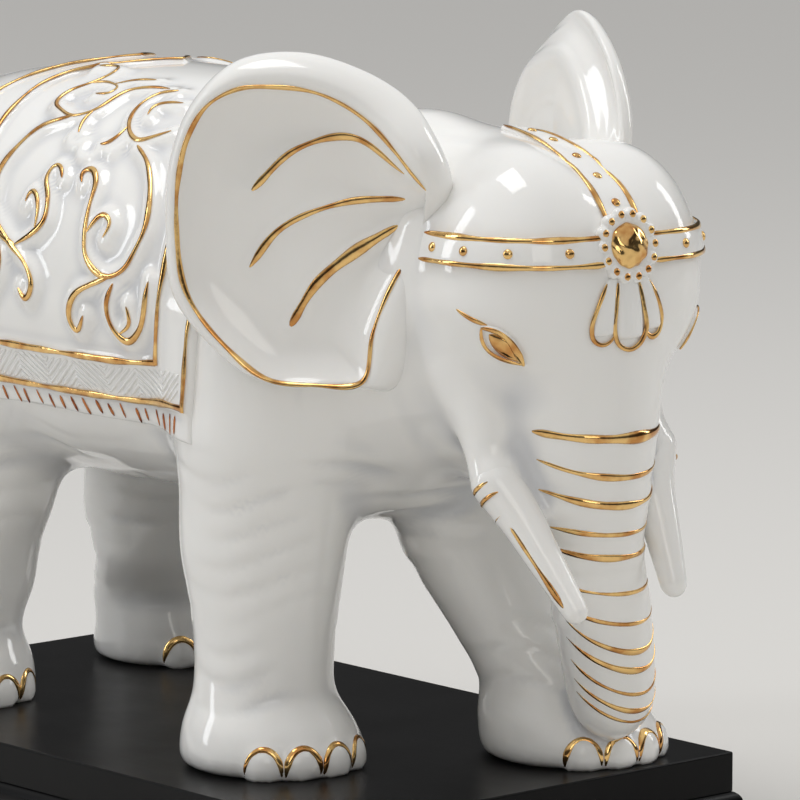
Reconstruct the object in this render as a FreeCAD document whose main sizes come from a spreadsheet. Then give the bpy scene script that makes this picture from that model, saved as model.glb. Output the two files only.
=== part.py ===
import FreeCAD, Part
import math
import os

# Glazed porcelain elephant with a saddle cloth, standing on a black lacquered plinth.
# Millimetres. The elephant faces +X, +Y is its left side and +Z is up.
# The origin is the centre of the plinth's felt underside.

Vector = FreeCAD.Vector
doc = FreeCAD.newDocument("PorcelainElephant")

# ---------------------------------------------------------------- driving dimensions

sheet = doc.addObject("Spreadsheet::Sheet", "Sizes")
driving = {
    # plinth joinery
    "plinthLength": 340, "plinthWidth": 198, "topThickness": 15, "edgeRounding": 0.8,
    "railHeight": 9, "railProud": 2.7, "railDepth": 18,
    "baseThickness": 5.5, "feltThickness": 1.5, "feltMargin": 4,
    "blockSide": 26, "blockInset": 3,
    "screwShank": 4, "screwHead": 8, "screwHeadDepth": 2.5, "screwLength": 22, "screwGap": 0.1,
    # castings
    "castWall": 4.5, "ventBore": 3,
    "torsoLength": 326, "torsoWidth": 164, "torsoHeight": 160, "torsoFront": 140, "torsoMiddle": 168,
    "headLength": 92, "headBack": 34, "headWidth": 108, "headHeight": 104,
    "headPlaceX": 150, "headPlaceY": 14,
    "headMiddle": 188, "headYaw": -5, "muzzleDepth": 60, "muzzleBack": 8, "muzzleBottom": 108,
    "trunkRoot": 26, "trunkTip": 14, "trunkRootBack": 19, "trunkRootRise": 52,
    "trunkTipX": 163, "trunkTipY": 46, "trunkTipZ": 12,
    "earThickness": 6, "earSweepRight": 40, "earSweepLeft": 22, "earLiftRight": -3, "earLiftLeft": 5,
    "earRootX": 2, "earSeat": 10, "earSpanRight": 97, "earSpanLeft": 101,
    "tuskRoot": 8.5, "tuskTip": 3.4, "tuskLength": 62, "tuskForwardRight": 36, "tuskForwardLeft": 27,
    "tuskSpreadRight": 37, "tuskSpreadLeft": 34, "tuskInwardRight": 0.19, "tuskInwardLeft": 0.05,
    "tuskBack": 40, "tuskRise": 20, "tuskLiftLeft": 7,
    "ankle": 27.5, "foot": 34.5, "shoulder": 33, "thigh": 49,
    "frontRightX": 71, "frontRightY": -44, "frontLeftX": 131, "frontLeftY": 53, "frontLeftLean": 42,
    "rearRightX": -109, "rearRightY": -60, "rearLeftX": -118, "rearLeftY": 60, "rearTopX": -106,
    "tailRoot": 7.5, "tailTip": 4.5, "tailLength": 96, "tailRise": 18,
    # harness and saddle cloth, modelled on the castings
    "clothFront": 70, "clothRear": -104, "clothHem": 134, "clothThickness": 3,
    "fringeDepth": 11, "fringeThickness": 2,
    "bandHeight": 10, "bandThickness": 1.8, "bandMiddle": 200, "bandStart": 4,
    "strapWidth": 13, "strapStart": -24,
    "rosetteRadius": 13.5, "rosetteThickness": 3, "rosetteSeat": 12, "rosetteLean": 11.5,
    "bossRadius": 6.8, "beadRadius": 2.1, "beadCircle": 10.3, "beadCount": 14,
    "petalLength": 26, "petalWidth": 9, "petalThickness": 2.4, "petalSpread": 24,
    "eyeRadius": 5.5, "eyeBack": 19, "eyeInset": 13, "eyeDrop": 20,
    "toenailRadius": 6.5, "toenailProud": 1.2, "toenailPitch": 25.5,
}
for row, (alias, number) in enumerate(driving.items(), start=1):
    sheet.set(f"A{row}", alias)
    sheet.set(f"B{row}", str(number))
    sheet.setAlias(f"B{row}", alias)
doc.recompute()


def size(alias):
    return float(sheet.get(alias))


plinthHeight = size("feltThickness") + size("baseThickness") + size("railHeight") + size("topThickness")
castWall = size("castWall")
subparts = []


def addShape(name, shape):
    # a sub-part whose free form comes from sections, with its sizes read from the sheet
    feature = doc.addObject("Part::Feature", name)
    feature.Label = name
    feature.Shape = shape
    feature.Placement = FreeCAD.Placement(Vector(0, 0, plinthHeight), FreeCAD.Rotation())
    subparts.append(feature)
    return feature


# ---------------------------------------------------------------- plinth

def bind(item, expressions):
    for prop, expression in expressions.items():
        item.setExpression(prop, expression)


def addBox(name, expressions):
    box = doc.addObject("Part::Box", name)
    bind(box, expressions)
    return box


def addCut(name, base, tool):
    cut = doc.addObject("Part::Cut", name)
    cut.Base = base
    cut.Tool = tool
    return cut


def addFuse(name, items):
    fuse = doc.addObject("Part::MultiFuse", name)
    fuse.Shapes = items
    return fuse


def screwCentres():
    # two signs for each corner of the plinth
    return [(sx, sy) for sx in (-1, 1) for sy in (-1, 1)]


blockReachX = "(Sizes.plinthLength / 2 - Sizes.railDepth - Sizes.blockInset - Sizes.blockSide / 2)"
blockReachY = "(Sizes.plinthWidth / 2 - Sizes.railDepth - Sizes.blockInset - Sizes.blockSide / 2)"


def addScrewSet(name, gap):
    # four countersunk screws, or the holes for them when gap is the clearance round the metal
    items = []
    for number, (sx, sy) in enumerate(screwCentres()):
        shank = doc.addObject("Part::Cylinder", f"{name}Shank{number}")
        bind(shank, {"Radius": f"Sizes.screwShank / 2 + {gap}", "Height": f"Sizes.screwLength + {gap}"})
        head = doc.addObject("Part::Cone", f"{name}Head{number}")
        bind(head, {"Radius1": "Sizes.screwHead / 2", "Radius2": "Sizes.screwShank / 2",
                    "Height": "Sizes.screwHeadDepth"})
        for item in (shank, head):
            bind(item, {"Placement.Base.x": f"{sx} * {blockReachX}",
                        "Placement.Base.y": f"{sy} * {blockReachY}",
                        "Placement.Base.z": "Sizes.feltThickness"})
        items += [shank, head]
    return addFuse(name, items)


def addRail(name, lengthAlias, widthAlias, turn):
    # half-round bead moulding on a square back, mitred at both ends
    height = size("railHeight")
    radius = height / 2
    back = size("railDepth")
    proud = size("railProud")
    half = size(lengthAlias) / 2 + proud
    face = size(widthAlias) / 2 + proud
    bottom = size("feltThickness") + size("baseThickness")
    start = Vector(-half, face - back - proud, bottom)
    lowEdge = Vector(-half, face - radius, bottom)
    crest = Vector(-half, face, bottom + radius)
    highEdge = Vector(-half, face - radius, bottom + height)
    end = Vector(-half, face - back - proud, bottom + height)
    edges = [Part.LineSegment(start, lowEdge).toShape(), Part.Arc(lowEdge, crest, highEdge).toShape(),
             Part.LineSegment(highEdge, end).toShape(), Part.LineSegment(end, start).toShape()]
    stick = Part.Face(Part.Wire(edges)).extrude(Vector(2 * half, 0, 0))
    run = back + proud
    corner = Vector(-half, face, 0)
    mitre = Part.makePolygon([corner, Vector(half, face, 0), Vector(half - run, face - run, 0),
                              Vector(-half + run, face - run, 0), corner])
    prism = Part.Face(mitre).extrude(Vector(0, 0, plinthHeight))
    rail = doc.addObject("Part::Feature", name)
    rail.Label = name
    rail.Shape = stick.common(prism)
    rail.Placement = FreeCAD.Placement(Vector(), FreeCAD.Rotation(Vector(0, 0, 1), turn))
    subparts.append(rail)


def buildPlinth():
    felt = addBox("felt_base", {
        "Length": "Sizes.plinthLength - 2 * Sizes.feltMargin",
        "Width": "Sizes.plinthWidth - 2 * Sizes.feltMargin",
        "Height": "Sizes.feltThickness",
        "Placement.Base.x": "-(Sizes.plinthLength / 2 - Sizes.feltMargin)",
        "Placement.Base.y": "-(Sizes.plinthWidth / 2 - Sizes.feltMargin)"})

    holes = addScrewSet("screwHoles", "Sizes.screwGap")
    screws = addScrewSet("plinth_screws", "0")

    boardPlace = {"Length": "Sizes.plinthLength", "Width": "Sizes.plinthWidth",
                  "Placement.Base.x": "-Sizes.plinthLength / 2", "Placement.Base.y": "-Sizes.plinthWidth / 2"}
    baseBlank = addBox("baseBlank", {**boardPlace, "Height": "Sizes.baseThickness",
                                     "Placement.Base.z": "Sizes.feltThickness"})
    topUnder = "Sizes.feltThickness + Sizes.baseThickness + Sizes.railHeight"
    topBlank = addBox("topBlank", {**boardPlace, "Height": "Sizes.topThickness",
                                   "Placement.Base.z": topUnder})
    doc.recompute()
    topRounded = doc.addObject("Part::Fillet", "topRounded")
    topRounded.Base = topBlank
    highEdges = [number for number, edge in enumerate(topBlank.Shape.Edges, start=1)
                 if edge.BoundBox.ZMin > plinthHeight - size("topThickness") / 2 or edge.BoundBox.ZLength > 1]
    topRounded.Edges = [(number, size("edgeRounding"), size("edgeRounding")) for number in highEdges]
    topBoard = addCut("top_board", topRounded, holes)
    baseBoard = addCut("base_board", baseBlank, holes)

    blocks = []
    for number, (sx, sy) in enumerate(screwCentres()):
        blocks.append(addBox(f"block{number}", {
            "Length": "Sizes.blockSide", "Width": "Sizes.blockSide", "Height": "Sizes.railHeight",
            "Placement.Base.x": f"{sx} * {blockReachX} - Sizes.blockSide / 2",
            "Placement.Base.y": f"{sy} * {blockReachY} - Sizes.blockSide / 2",
            "Placement.Base.z": "Sizes.feltThickness + Sizes.baseThickness"}))
    cornerBlocks = addCut("corner_blocks", addFuse("blockSet", blocks), holes)
    subparts.extend([felt, baseBoard, cornerBlocks, topBoard, screws])

    addRail("rail_left", "plinthLength", "plinthWidth", 0)
    addRail("rail_right", "plinthLength", "plinthWidth", 180)
    addRail("rail_rear", "plinthWidth", "plinthLength", 90)
    addRail("rail_front", "plinthWidth", "plinthLength", -90)


# ---------------------------------------------------------------- casting helpers
# Heights below are measured from the plinth's top; addShape lifts each piece onto it.

sectionPoints = 16


def section(centre, across, upward, halfAcross, halfUpward):
    # a closed smooth oval, started at the same place on every section of a loft
    points = []
    for step in range(sectionPoints):
        angle = 2 * math.pi * step / sectionPoints
        offset = across * (halfAcross * math.cos(angle)) + upward * (halfUpward * math.sin(angle))
        points.append(centre + offset)
    curve = Part.BSplineCurve()
    curve.interpolate(Points=points, PeriodicFlag=True)
    return Part.Wire(curve.toShape())


def levelLoft(stations, grow):
    # level ovals, lowest first: (x, y, z, half size along X, half size along Y)
    wires = []
    last = len(stations) - 1
    for number, (x, y, z, halfX, halfY) in enumerate(stations):
        lift = -grow if number == 0 else grow if number == last else 0
        centre = Vector(x, y, z + lift)
        wires.append(section(centre, Vector(1, 0, 0), Vector(0, 1, 0), halfX + grow, halfY + grow))
    return Part.makeLoft(wires, True, False)


def lengthLoft(stations, grow):
    # upright ovals from rear to front: (x, z, half size along Y, half size along Z)
    wires = []
    last = len(stations) - 1
    for number, (x, z, halfY, halfZ) in enumerate(stations):
        shift = -grow if number == 0 else grow if number == last else 0
        centre = Vector(x + shift, 0, z)
        wires.append(section(centre, Vector(0, 1, 0), Vector(0, 0, 1), halfY + grow, halfZ + grow))
    return Part.makeLoft(wires, True, False)


def placeOnHead(shape):
    # from the head's own frame, x forward from between the ears, to the elephant's
    turn = FreeCAD.Rotation(Vector(0, 0, 1), size("headYaw"))
    place = Vector(size("headPlaceX"), size("headPlaceY"), 0)
    moved = shape.copy()
    moved.Placement = FreeCAD.Placement(place, turn)
    return moved


def headFace():
    # how far the forehead stands ahead of the ears
    return size("headLength") - size("headBack")


def onHead(x, y, z):
    turn = FreeCAD.Rotation(Vector(0, 0, 1), size("headYaw"))
    return turn.multVec(Vector(x, y, z)) + Vector(size("headPlaceX"), size("headPlaceY"), 0)


def ball(centre, radius):
    return Part.makeSphere(radius, centre)


# ---------------------------------------------------------------- casting outlines

def torsoSolid(grow):
    length = size("torsoLength")
    rear = size("torsoFront") - length
    halfWidth = size("torsoWidth") / 2
    halfHeight = size("torsoHeight") / 2
    # share of the length, of the half width, of the half height, and rise of the middle
    profile = [(0.000, 0.22, 0.26, -0.04), (0.030, 0.52, 0.57, -0.04), (0.090, 0.76, 0.83, -0.03),
               (0.180, 0.91, 0.93, -0.01), (0.300, 0.98, 0.98, 0.00), (0.450, 1.00, 1.00, 0.01),
               (0.580, 0.99, 0.985, 0.01), (0.700, 0.93, 0.94, 0.01), (0.820, 0.80, 0.85, 0.01),
               (0.920, 0.64, 0.75, 0.02), (1.000, 0.50, 0.61, 0.04)]
    stations = [(rear + share * length, size("torsoMiddle") + rise * halfHeight, wide * halfWidth,
                 high * halfHeight) for share, wide, high, rise in profile]
    return lengthLoft(stations, grow)


def headSolid(grow):
    # rounded cranium and, below it, the muzzle that carries the trunk and tusks
    length = size("headLength")
    halfWidth = size("headWidth") / 2
    halfHeight = size("headHeight") / 2
    middle = size("headMiddle")
    rear = -size("headBack")
    profile = [(0.00, 0.66, 0.70, 0.02), (0.20, 0.90, 0.92, 0.02), (0.45, 1.00, 1.00, 0.01),
               (0.70, 0.97, 0.97, 0.00), (0.86, 0.84, 0.84, -0.03), (0.95, 0.62, 0.64, -0.04),
               (1.00, 0.36, 0.38, -0.04)]
    stations = [(rear + share * length, middle + rise * halfHeight, wide * halfWidth, high * halfHeight)
                for share, wide, high, rise in profile]
    cranium = lengthLoft(stations, grow)
    halfDepth = size("muzzleDepth") / 2
    bottom = size("muzzleBottom")
    drop = middle - bottom
    forward = headFace() - halfDepth - size("muzzleBack")
    muzzleProfile = [(0.00, 0.30, 0.40, 0.26), (0.06, 0.48, 0.56, 0.24), (0.20, 0.70, 0.70, 0.16),
                     (0.42, 0.88, 0.80, 0.06), (0.70, 0.98, 0.86, 0.00), (1.00, 0.98, 0.84, -0.08)]
    levels = [(forward + ahead * halfDepth, 0, bottom + share * drop, deep * halfDepth, wide * halfWidth)
              for share, deep, wide, ahead in muzzleProfile]
    return placeOnHead(cranium.fuse(levelLoft(levels, grow)))


def trunkSolid(grow):
    root = size("trunkRoot")
    tip = size("trunkTip")
    topZ = size("muzzleBottom") + size("trunkRootRise")
    front = onHead(headFace() - size("trunkRootBack"), -3, 0)
    endX, endY, endZ = size("trunkTipX"), size("trunkTipY"), size("trunkTipZ")
    # share of the drop from root to tip, of the way across to the tip, forward bow, and share of the
    # radius between tip and root
    profile = [(1.00, 1.00, 0, -0.20), (0.93, 0.99, 0, 0.00), (0.80, 0.84, 0, 0.22), (0.64, 0.58, 0, 0.28),
               (0.47, 0.28, 0, 0.36), (0.30, 0.10, 0, 0.55), (0.16, 0.02, -3, 0.80), (0.00, 0.00, -12, 0.9)]
    stations = []
    for drop, across, bow, widthShare in profile:
        x = front.x + (endX - front.x) * across + bow
        y = front.y + (endY - front.y) * across
        z = topZ + (endZ - topZ) * drop
        radius = tip + (root - tip) * widthShare
        stations.append((x, y, z, radius, radius))
    return levelLoft(stations, grow)


def frontLegSolid(footX, footY, lean, inward, grow):
    ankle = size("ankle")
    foot = size("foot")
    shoulder = size("shoulder")
    top = size("torsoMiddle")
    belly = size("torsoMiddle") - size("torsoHeight") / 2
    topX = footX - lean
    topY = footY + inward
    # height, radius and share of the lean
    levels = [(0, foot - 1.5, 0.00), (6, foot, 0.02), (14, foot - 1.5, 0.08), (27, ankle, 0.22),
              (0.50 * belly, ankle - 0.5, 0.45), (0.78 * belly, ankle + 0.8, 0.75),
              (1.10 * belly, shoulder - 2, 1.0), (1.45 * belly, shoulder, 1.0), (top, shoulder - 4, 1.0)]
    stations = [(footX + (topX - footX) * share, footY + (topY - footY) * share, z, radius, radius)
                for z, radius, share in levels]
    return levelLoft(stations, grow)


def rearLegSolid(footX, footY, inward, grow):
    ankle = size("ankle")
    foot = size("foot")
    thigh = size("thigh")
    top = size("torsoMiddle")
    belly = size("torsoMiddle") - size("torsoHeight") / 2
    topX = size("rearTopX")
    # height, half sizes along X and Y, and share of the lean
    levels = [(0, foot - 1.5, foot - 1.5, 0.0), (6, foot, foot, 0.0), (14, foot - 1.5, foot - 1.5, 0.05),
              (27, ankle, ankle, 0.15), (0.50 * belly, ankle, ankle, 0.35),
              (0.80 * belly, ankle + 4, ankle + 2, 0.7), (1.15 * belly, thigh - 4, ankle + 4, 1.0),
              (1.5 * belly, thigh, ankle + 5, 1.0), (top, thigh - 4, ankle, 1.0)]
    stations = [(footX + (topX - footX) * share, footY + inward * share, z, deep, wide)
                for z, deep, wide, share in levels]
    return levelLoft(stations, grow)


legPlaces = {
    "leg_front_right": (frontLegSolid, (size("frontRightX"), size("frontRightY"), 0, 3)),
    "leg_front_left": (frontLegSolid, (size("frontLeftX"), size("frontLeftY"), size("frontLeftLean"), -12)),
    "leg_rear_right": (rearLegSolid, (size("rearRightX"), size("rearRightY"), 16)),
    "leg_rear_left": (rearLegSolid, (size("rearLeftX"), size("rearLeftY"), -16)),
}


# degrees each foot points to its left
toeTurns = {"leg_front_right": -7, "leg_front_left": 3, "leg_rear_right": -8, "leg_rear_left": 6}


def legSolid(name, grow):
    maker, places = legPlaces[name]
    return maker(*places, grow)


def ventAt(x, y, z, direction, length):
    return Part.makeCylinder(size("ventBore") / 2, length, Vector(x, y, z), direction)


# ---------------------------------------------------------------- figure sub-parts

def earOutline(span):
    # flat leaf: a share of the span out from the junction with the head, and millimetres up
    points = [(-0.03, 40), (0.20, 70), (0.52, 84), (0.82, 74), (0.99, 42), (1.00, 6), (0.88, -16),
              (0.64, -36), (0.16, -35), (0.00, -16)]
    curve = Part.BSplineCurve()
    curve.interpolate(Points=[Vector(share * span, 0, up) for share, up in points], PeriodicFlag=True)
    return Part.Face(Part.Wire(curve.toShape()))


def earSolid(side):
    sweep = size("earSweepLeft") if side > 0 else size("earSweepRight")
    lift = size("earLiftLeft") if side > 0 else size("earLiftRight")
    span = size("earSpanLeft") if side > 0 else size("earSpanRight")
    plate = earOutline(span).extrude(Vector(0, size("earThickness"), 0))
    plate.translate(Vector(0, -size("earThickness") / 2, 0))
    rootY = side * (size("headWidth") / 2 - size("earSeat"))
    root = onHead(size("earRootX"), rootY, size("headMiddle") + lift)
    # u runs to the rear and outward
    heading = 180 - side * sweep
    plate.Placement = FreeCAD.Placement(root, FreeCAD.Rotation(Vector(0, 0, 1), heading))
    return plate


def tuskSolid(side):
    root, tip, length = size("tuskRoot"), size("tuskTip"), size("tuskLength")
    lift = size("tuskLiftLeft") if side > 0 else 0
    spread = size("tuskSpreadLeft") if side > 0 else size("tuskSpreadRight")
    inward = size("tuskInwardLeft") if side > 0 else size("tuskInwardRight")
    rootZ = size("muzzleBottom") + size("tuskRise") + lift
    base = onHead(headFace() - size("tuskBack"), side * spread, rootZ)
    forward = size("tuskForwardLeft") if side > 0 else size("tuskForwardRight")
    lean = Vector(math.sin(math.radians(forward)), -side * inward, -math.cos(math.radians(forward)))
    slope = FreeCAD.Rotation(Vector(0, 0, 1), size("headYaw")).multVec(lean)
    stations = []
    for share in (1.18, 1.0, 0.8, 0.5, 0.2, 0.0):
        middle = base + slope * (length * share)
        radius = tip + (root - tip) * (1 - share / 1.18)
        stations.append((middle.x, middle.y, middle.z, radius * 1.15, radius))
    return levelLoft(stations, 0)


def tailSolid():
    root, tip, length = size("tailRoot"), size("tailTip"), size("tailLength")
    top = size("torsoMiddle") + size("tailRise")
    rearX = size("torsoFront") - size("torsoLength")
    stations = []
    for share, back, swell in ((1.0, 0.5, 0.6), (0.92, 0.2, 1.5), (0.8, 0.0, 1.3), (0.6, -0.8, 1.0),
                               (0.35, -1.2, 1.0), (0.1, 0.6, 1.0), (0.0, 1.6, 0.8)):
        radius = (tip + (root - tip) * (1 - share)) * swell
        stations.append((rearX + back * root, 0, top - share * length, radius, radius))
    return levelLoft(stations, 0)


def rosetteAxis():
    # the forehead slopes back, so the ornament leans with it
    turn = FreeCAD.Rotation(Vector(0, 0, 1), size("headYaw"))
    lean = math.radians(size("rosetteLean"))
    return turn.multVec(Vector(math.cos(lean), 0, math.sin(lean)))


def rosetteCentre():
    return onHead(headFace(), 0, size("bandMiddle") + 1)


def petal(centre, spread):
    # one drop of the pendant, a flattened leaf below the rosette
    length, width, thick = size("petalLength"), size("petalWidth"), size("petalThickness")
    leaf = Part.makeSphere(1)
    stretch = FreeCAD.Matrix()
    stretch.scale(thick, width / 2, length / 2)
    leaf = leaf.transformGeometry(stretch)
    leaf.translate(Vector(0, 0, -length / 2))
    leaf.rotate(Vector(), Vector(1, 0, 0), spread)
    leaf.rotate(Vector(), Vector(0, 0, 1), size("headYaw"))
    leaf.translate(centre)
    return leaf


def buildFigure():
    torso = torsoSolid(0)
    torsoSkin = torsoSolid(castWall)
    torsoHollow = torsoSolid(-castWall)
    head = headSolid(0)
    clothThickness = size("clothThickness")
    clothBlank = torsoSolid(clothThickness)
    legs = {name: legSolid(name, 0) for name in legPlaces}

    bellyZ = size("torsoMiddle") - size("torsoHeight") / 2
    ventReach = 4 * castWall
    bellyVent = ventAt(0, 0, bellyZ - ventReach / 2, Vector(0, 0, 1), ventReach)
    neckX = size("torsoFront") - ventReach
    neckVent = ventAt(neckX, size("headPlaceY") / 2, size("torsoMiddle"), Vector(1, 0, 0), 2 * ventReach)
    torsoShell = torso.cut(torsoHollow).cut(bellyVent).cut(neckVent)
    addShape("torso_shell", torsoShell)

    headHollow = headSolid(-castWall).cut(torsoSkin)
    trunk = trunkSolid(0).cut(head).cut(legs["leg_front_left"])
    trunkHollow = trunkSolid(-castWall).cut(headSolid(castWall)).cut(legSolid("leg_front_left", castWall))
    addShape("head_shell", head.cut(torso).cut(headHollow).cut(neckVent))
    addShape("trunk", trunk.cut(trunkHollow))

    for side, name in ((-1, "right"), (1, "left")):
        addShape(f"ear_{name}", earSolid(side).cut(head).cut(clothBlank))
        addShape(f"tusk_{name}", tuskSolid(side).cut(head).cut(trunkSolid(0)))

    for name in legPlaces:
        maker, places = legPlaces[name]
        hollow = legSolid(name, -castWall).cut(torsoSkin)
        vent = ventAt(places[0], places[1], -1, Vector(0, 0, 1), 2 * castWall)
        addShape(name, legs[name].cut(clothBlank).cut(hollow).cut(vent))
    addShape("tail", tailSolid().cut(torso))

    # the cloth lies on the torso from hem to hem, and the fringe hangs from its lower edges
    span = size("clothFront") - size("clothRear")
    rear = size("clothRear")
    tall = size("torsoHeight")
    wide = size("torsoWidth") + 40
    hem = size("clothHem")
    fringe = size("fringeDepth")
    clothBox = Part.makeBox(span, wide, tall, Vector(rear, -wide / 2, hem))
    addShape("saddle_cloth", clothBlank.cut(torso).common(clothBox))
    fringeBlank = torsoSolid(size("fringeThickness")).cut(torso)
    for side, name in ((-1, "right"), (1, "left")):
        corner = Vector(rear, -wide / 2 if side < 0 else 0, hem - fringe)
        addShape(f"fringe_{name}", fringeBlank.common(Part.makeBox(span, wide / 2, fringe, corner)))

    # harness on the head
    bandThickness = size("bandThickness")
    skin = headSolid(bandThickness).cut(head)
    ears = [earSolid(-1), earSolid(1)]
    centre = rosetteCentre()
    axis = rosetteAxis()
    seat = size("rosetteSeat")
    discReach = seat + size("rosetteThickness")
    discWhole = Part.makeCylinder(size("rosetteRadius"), discReach, centre - axis * seat, axis)
    discWay = Part.makeCylinder(size("rosetteRadius"), 2 * discReach, centre - axis * seat, axis)
    bandBottom = size("bandMiddle") - size("bandHeight") / 2
    bandBox = Part.makeBox(size("headLength"), 2 * size("headWidth"), size("bandHeight"),
                           Vector(size("bandStart"), -size("headWidth"), bandBottom))
    band = skin.common(placeOnHead(bandBox)).cut(discWay)
    strapCorner = Vector(size("strapStart"), -size("strapWidth") / 2, bandBottom + size("bandHeight"))
    strapBox = Part.makeBox(size("headLength"), size("strapWidth"), size("headHeight"), strapCorner)
    strap = skin.common(placeOnHead(strapBox)).cut(discWay)
    for other in ears + [torso]:
        band = band.cut(other)
        strap = strap.cut(other)
    addShape("headband", band)
    addShape("crown_strap", strap)
    addShape("rosette_disc", discWhole.cut(head))
    face = centre + axis * size("rosetteThickness")
    addShape("rosette_boss", ball(face, size("bossRadius")).cut(discWhole).cut(head))
    sideways = Vector(0, 0, 1).cross(axis).normalize()
    upward = axis.cross(sideways)
    beads = []
    for number in range(int(size("beadCount"))):
        angle = 2 * math.pi * number / size("beadCount")
        spot = face + (sideways * math.cos(angle) + upward * math.sin(angle)) * size("beadCircle")
        beads.append(ball(spot, size("beadRadius")).cut(discWhole))
    addShape("rosette_beads", Part.makeCompound(beads))

    petals = []
    hang = onHead(headFace(), 0, size("bandMiddle") - 0.7 * size("rosetteRadius"))
    for share in (-1, 0, 1):
        drop = petal(hang, share * size("petalSpread")).cut(head).cut(discWhole).cut(band)
        for earlier in petals:
            drop = drop.cut(earlier)
        petals.append(drop)
    addShape("pendant", Part.makeCompound(petals))

    # small cast details
    for side, name in ((-1, "right"), (1, "left")):
        spot = onHead(headFace() - size("eyeBack"), side * (size("headWidth") / 2 - size("eyeInset")),
                      size("headMiddle") - size("eyeDrop"))
        addShape(f"eye_{name}", ball(spot, size("eyeRadius")).cut(head))
    nailRadius = size("toenailRadius")
    nailProud = size("toenailProud")
    nailDepth = nailRadius + nailProud
    foot = size("foot")
    trunkWhole = trunkSolid(0)
    for name in legPlaces:
        maker, places = legPlaces[name]
        nails = []
        for step in (-1.5, -0.5, 0.5, 1.5):
            turn = math.radians(toeTurns[name] + step * size("toenailPitch"))
            outward = Vector(math.cos(turn), math.sin(turn), 0)
            spot = Vector(places[0], places[1], nailRadius + 0.5) + outward * (foot - nailDepth)
            nail = Part.makeCylinder(nailRadius, nailDepth + nailProud, spot, outward)
            nails.append(nail.cut(legs[name]).cut(trunkWhole))
        addShape(name.replace("leg", "toenails"), Part.makeCompound(nails))


buildPlinth()
buildFigure()
doc.recompute()

# ---------------------------------------------------------------- check and write

for item in doc.Objects:
    if "Invalid" in item.State or "Error" in item.State:
        raise RuntimeError(f"{item.Label} did not compute")
os.makedirs("parts", exist_ok=True)
for item in subparts:
    if item.Shape.isNull() or not item.Shape.isValid():
        raise RuntimeError(f"{item.Label} has no valid shape")
    item.Shape.exportStep(f"parts/{item.Label}.step")
    print(f"{item.Label}: {len(item.Shape.Solids)} solid(s), {item.Shape.Volume:.0f} mm3")
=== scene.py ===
import math
import bpy
import numpy as np
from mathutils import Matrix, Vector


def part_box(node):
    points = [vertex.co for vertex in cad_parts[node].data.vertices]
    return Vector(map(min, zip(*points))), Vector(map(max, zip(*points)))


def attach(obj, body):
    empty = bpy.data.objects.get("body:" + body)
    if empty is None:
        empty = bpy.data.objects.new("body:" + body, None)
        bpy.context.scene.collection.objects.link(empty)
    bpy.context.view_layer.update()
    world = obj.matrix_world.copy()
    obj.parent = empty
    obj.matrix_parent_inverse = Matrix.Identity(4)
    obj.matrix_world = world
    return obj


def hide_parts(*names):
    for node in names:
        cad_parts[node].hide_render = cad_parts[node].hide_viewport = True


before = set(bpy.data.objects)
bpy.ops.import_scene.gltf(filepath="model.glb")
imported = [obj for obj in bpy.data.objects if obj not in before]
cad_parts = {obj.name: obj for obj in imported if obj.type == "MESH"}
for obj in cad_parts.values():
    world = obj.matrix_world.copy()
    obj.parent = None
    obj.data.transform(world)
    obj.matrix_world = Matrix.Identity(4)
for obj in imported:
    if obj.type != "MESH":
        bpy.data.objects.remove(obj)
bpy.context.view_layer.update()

import openvdb
from mathutils import Vector
from mathutils.bvhtree import BVHTree

mm = 0.001                                   # the castings are worked in millimetres, and meshes are made in metres
rng = np.random.default_rng(7)


# reading the frame

def unit(vector):
    return vector / np.linalg.norm(vector)


def cadPoints(node):
    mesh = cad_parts[node].data
    points = np.empty(len(mesh.vertices) * 3, np.float32)
    mesh.vertices.foreach_get("co", points)
    return points.reshape(-1, 3) / mm


def cadMiddle(node):
    low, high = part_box(node)
    return (np.array(low) + np.array(high)) / 2 / mm


def cutOf(node, axis, at):
    # middle and half sizes of a node's section at one height (axis 2) or length (axis 0)
    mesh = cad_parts[node].data
    points = cadPoints(node)
    edges = np.empty(len(mesh.edges) * 2, np.int32)
    mesh.edges.foreach_get("vertices", edges)
    a, b = points[edges[0::2]], points[edges[1::2]]
    crossing = (a[:, axis] - at) * (b[:, axis] - at) < 0
    a, b = a[crossing], b[crossing]
    hits = a + (b - a) * ((at - a[:, axis]) / (b[:, axis] - a[:, axis]))[:, None]
    return (hits.min(0) + hits.max(0)) / 2, (hits.max(0) - hits.min(0)) / 2


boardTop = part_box("top_board")[1][2] / mm
eyeRight, eyeLeft = cadMiddle("eye_right"), cadMiddle("eye_left")
headSide = unit(eyeLeft - eyeRight)
headUp = np.array([0.0, 0.0, 1.0])
headFront = np.cross(headSide, headUp)
headMid = (eyeLeft + eyeRight) / 2


def flatNormal(node):
    # points of a flat CAD node and its normal, forwards
    points = cadPoints(node)
    spread, axes = np.linalg.eigh(np.cov((points - points.mean(0)).T))
    return points, axes[:, 0] * np.sign(axes[:, 0] @ headFront)


def onHead(forward, left, up):
    # a place on the head, in millimetres from the middle between the eyes
    return headMid + headFront * forward + headSide * left + headUp * up


# fields: smooth forms added together on a grid of points, then meshed

def makeSpace(low, high, step):
    axes = [np.arange(lo, hi + step, step, dtype=np.float32) for lo, hi in zip(low, high)]
    return {"low": np.array(low), "step": step, "x": axes[0][:, None, None], "y": axes[1][None, :, None],
            "z": axes[2][None, None, :]}


def softMin(a, b, soft):
    share = np.clip(0.5 + 0.5 * (b - a) / soft, 0, 1)
    return b + (a - b) * share - soft * share * (1 - share)


def softMax(a, b, soft):
    return -softMin(-a, -b, soft)


def smoothStep(low, high, value):
    t = np.clip((value - low) / (high - low), 0, 1)
    return t * t * (3 - 2 * t)


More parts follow.
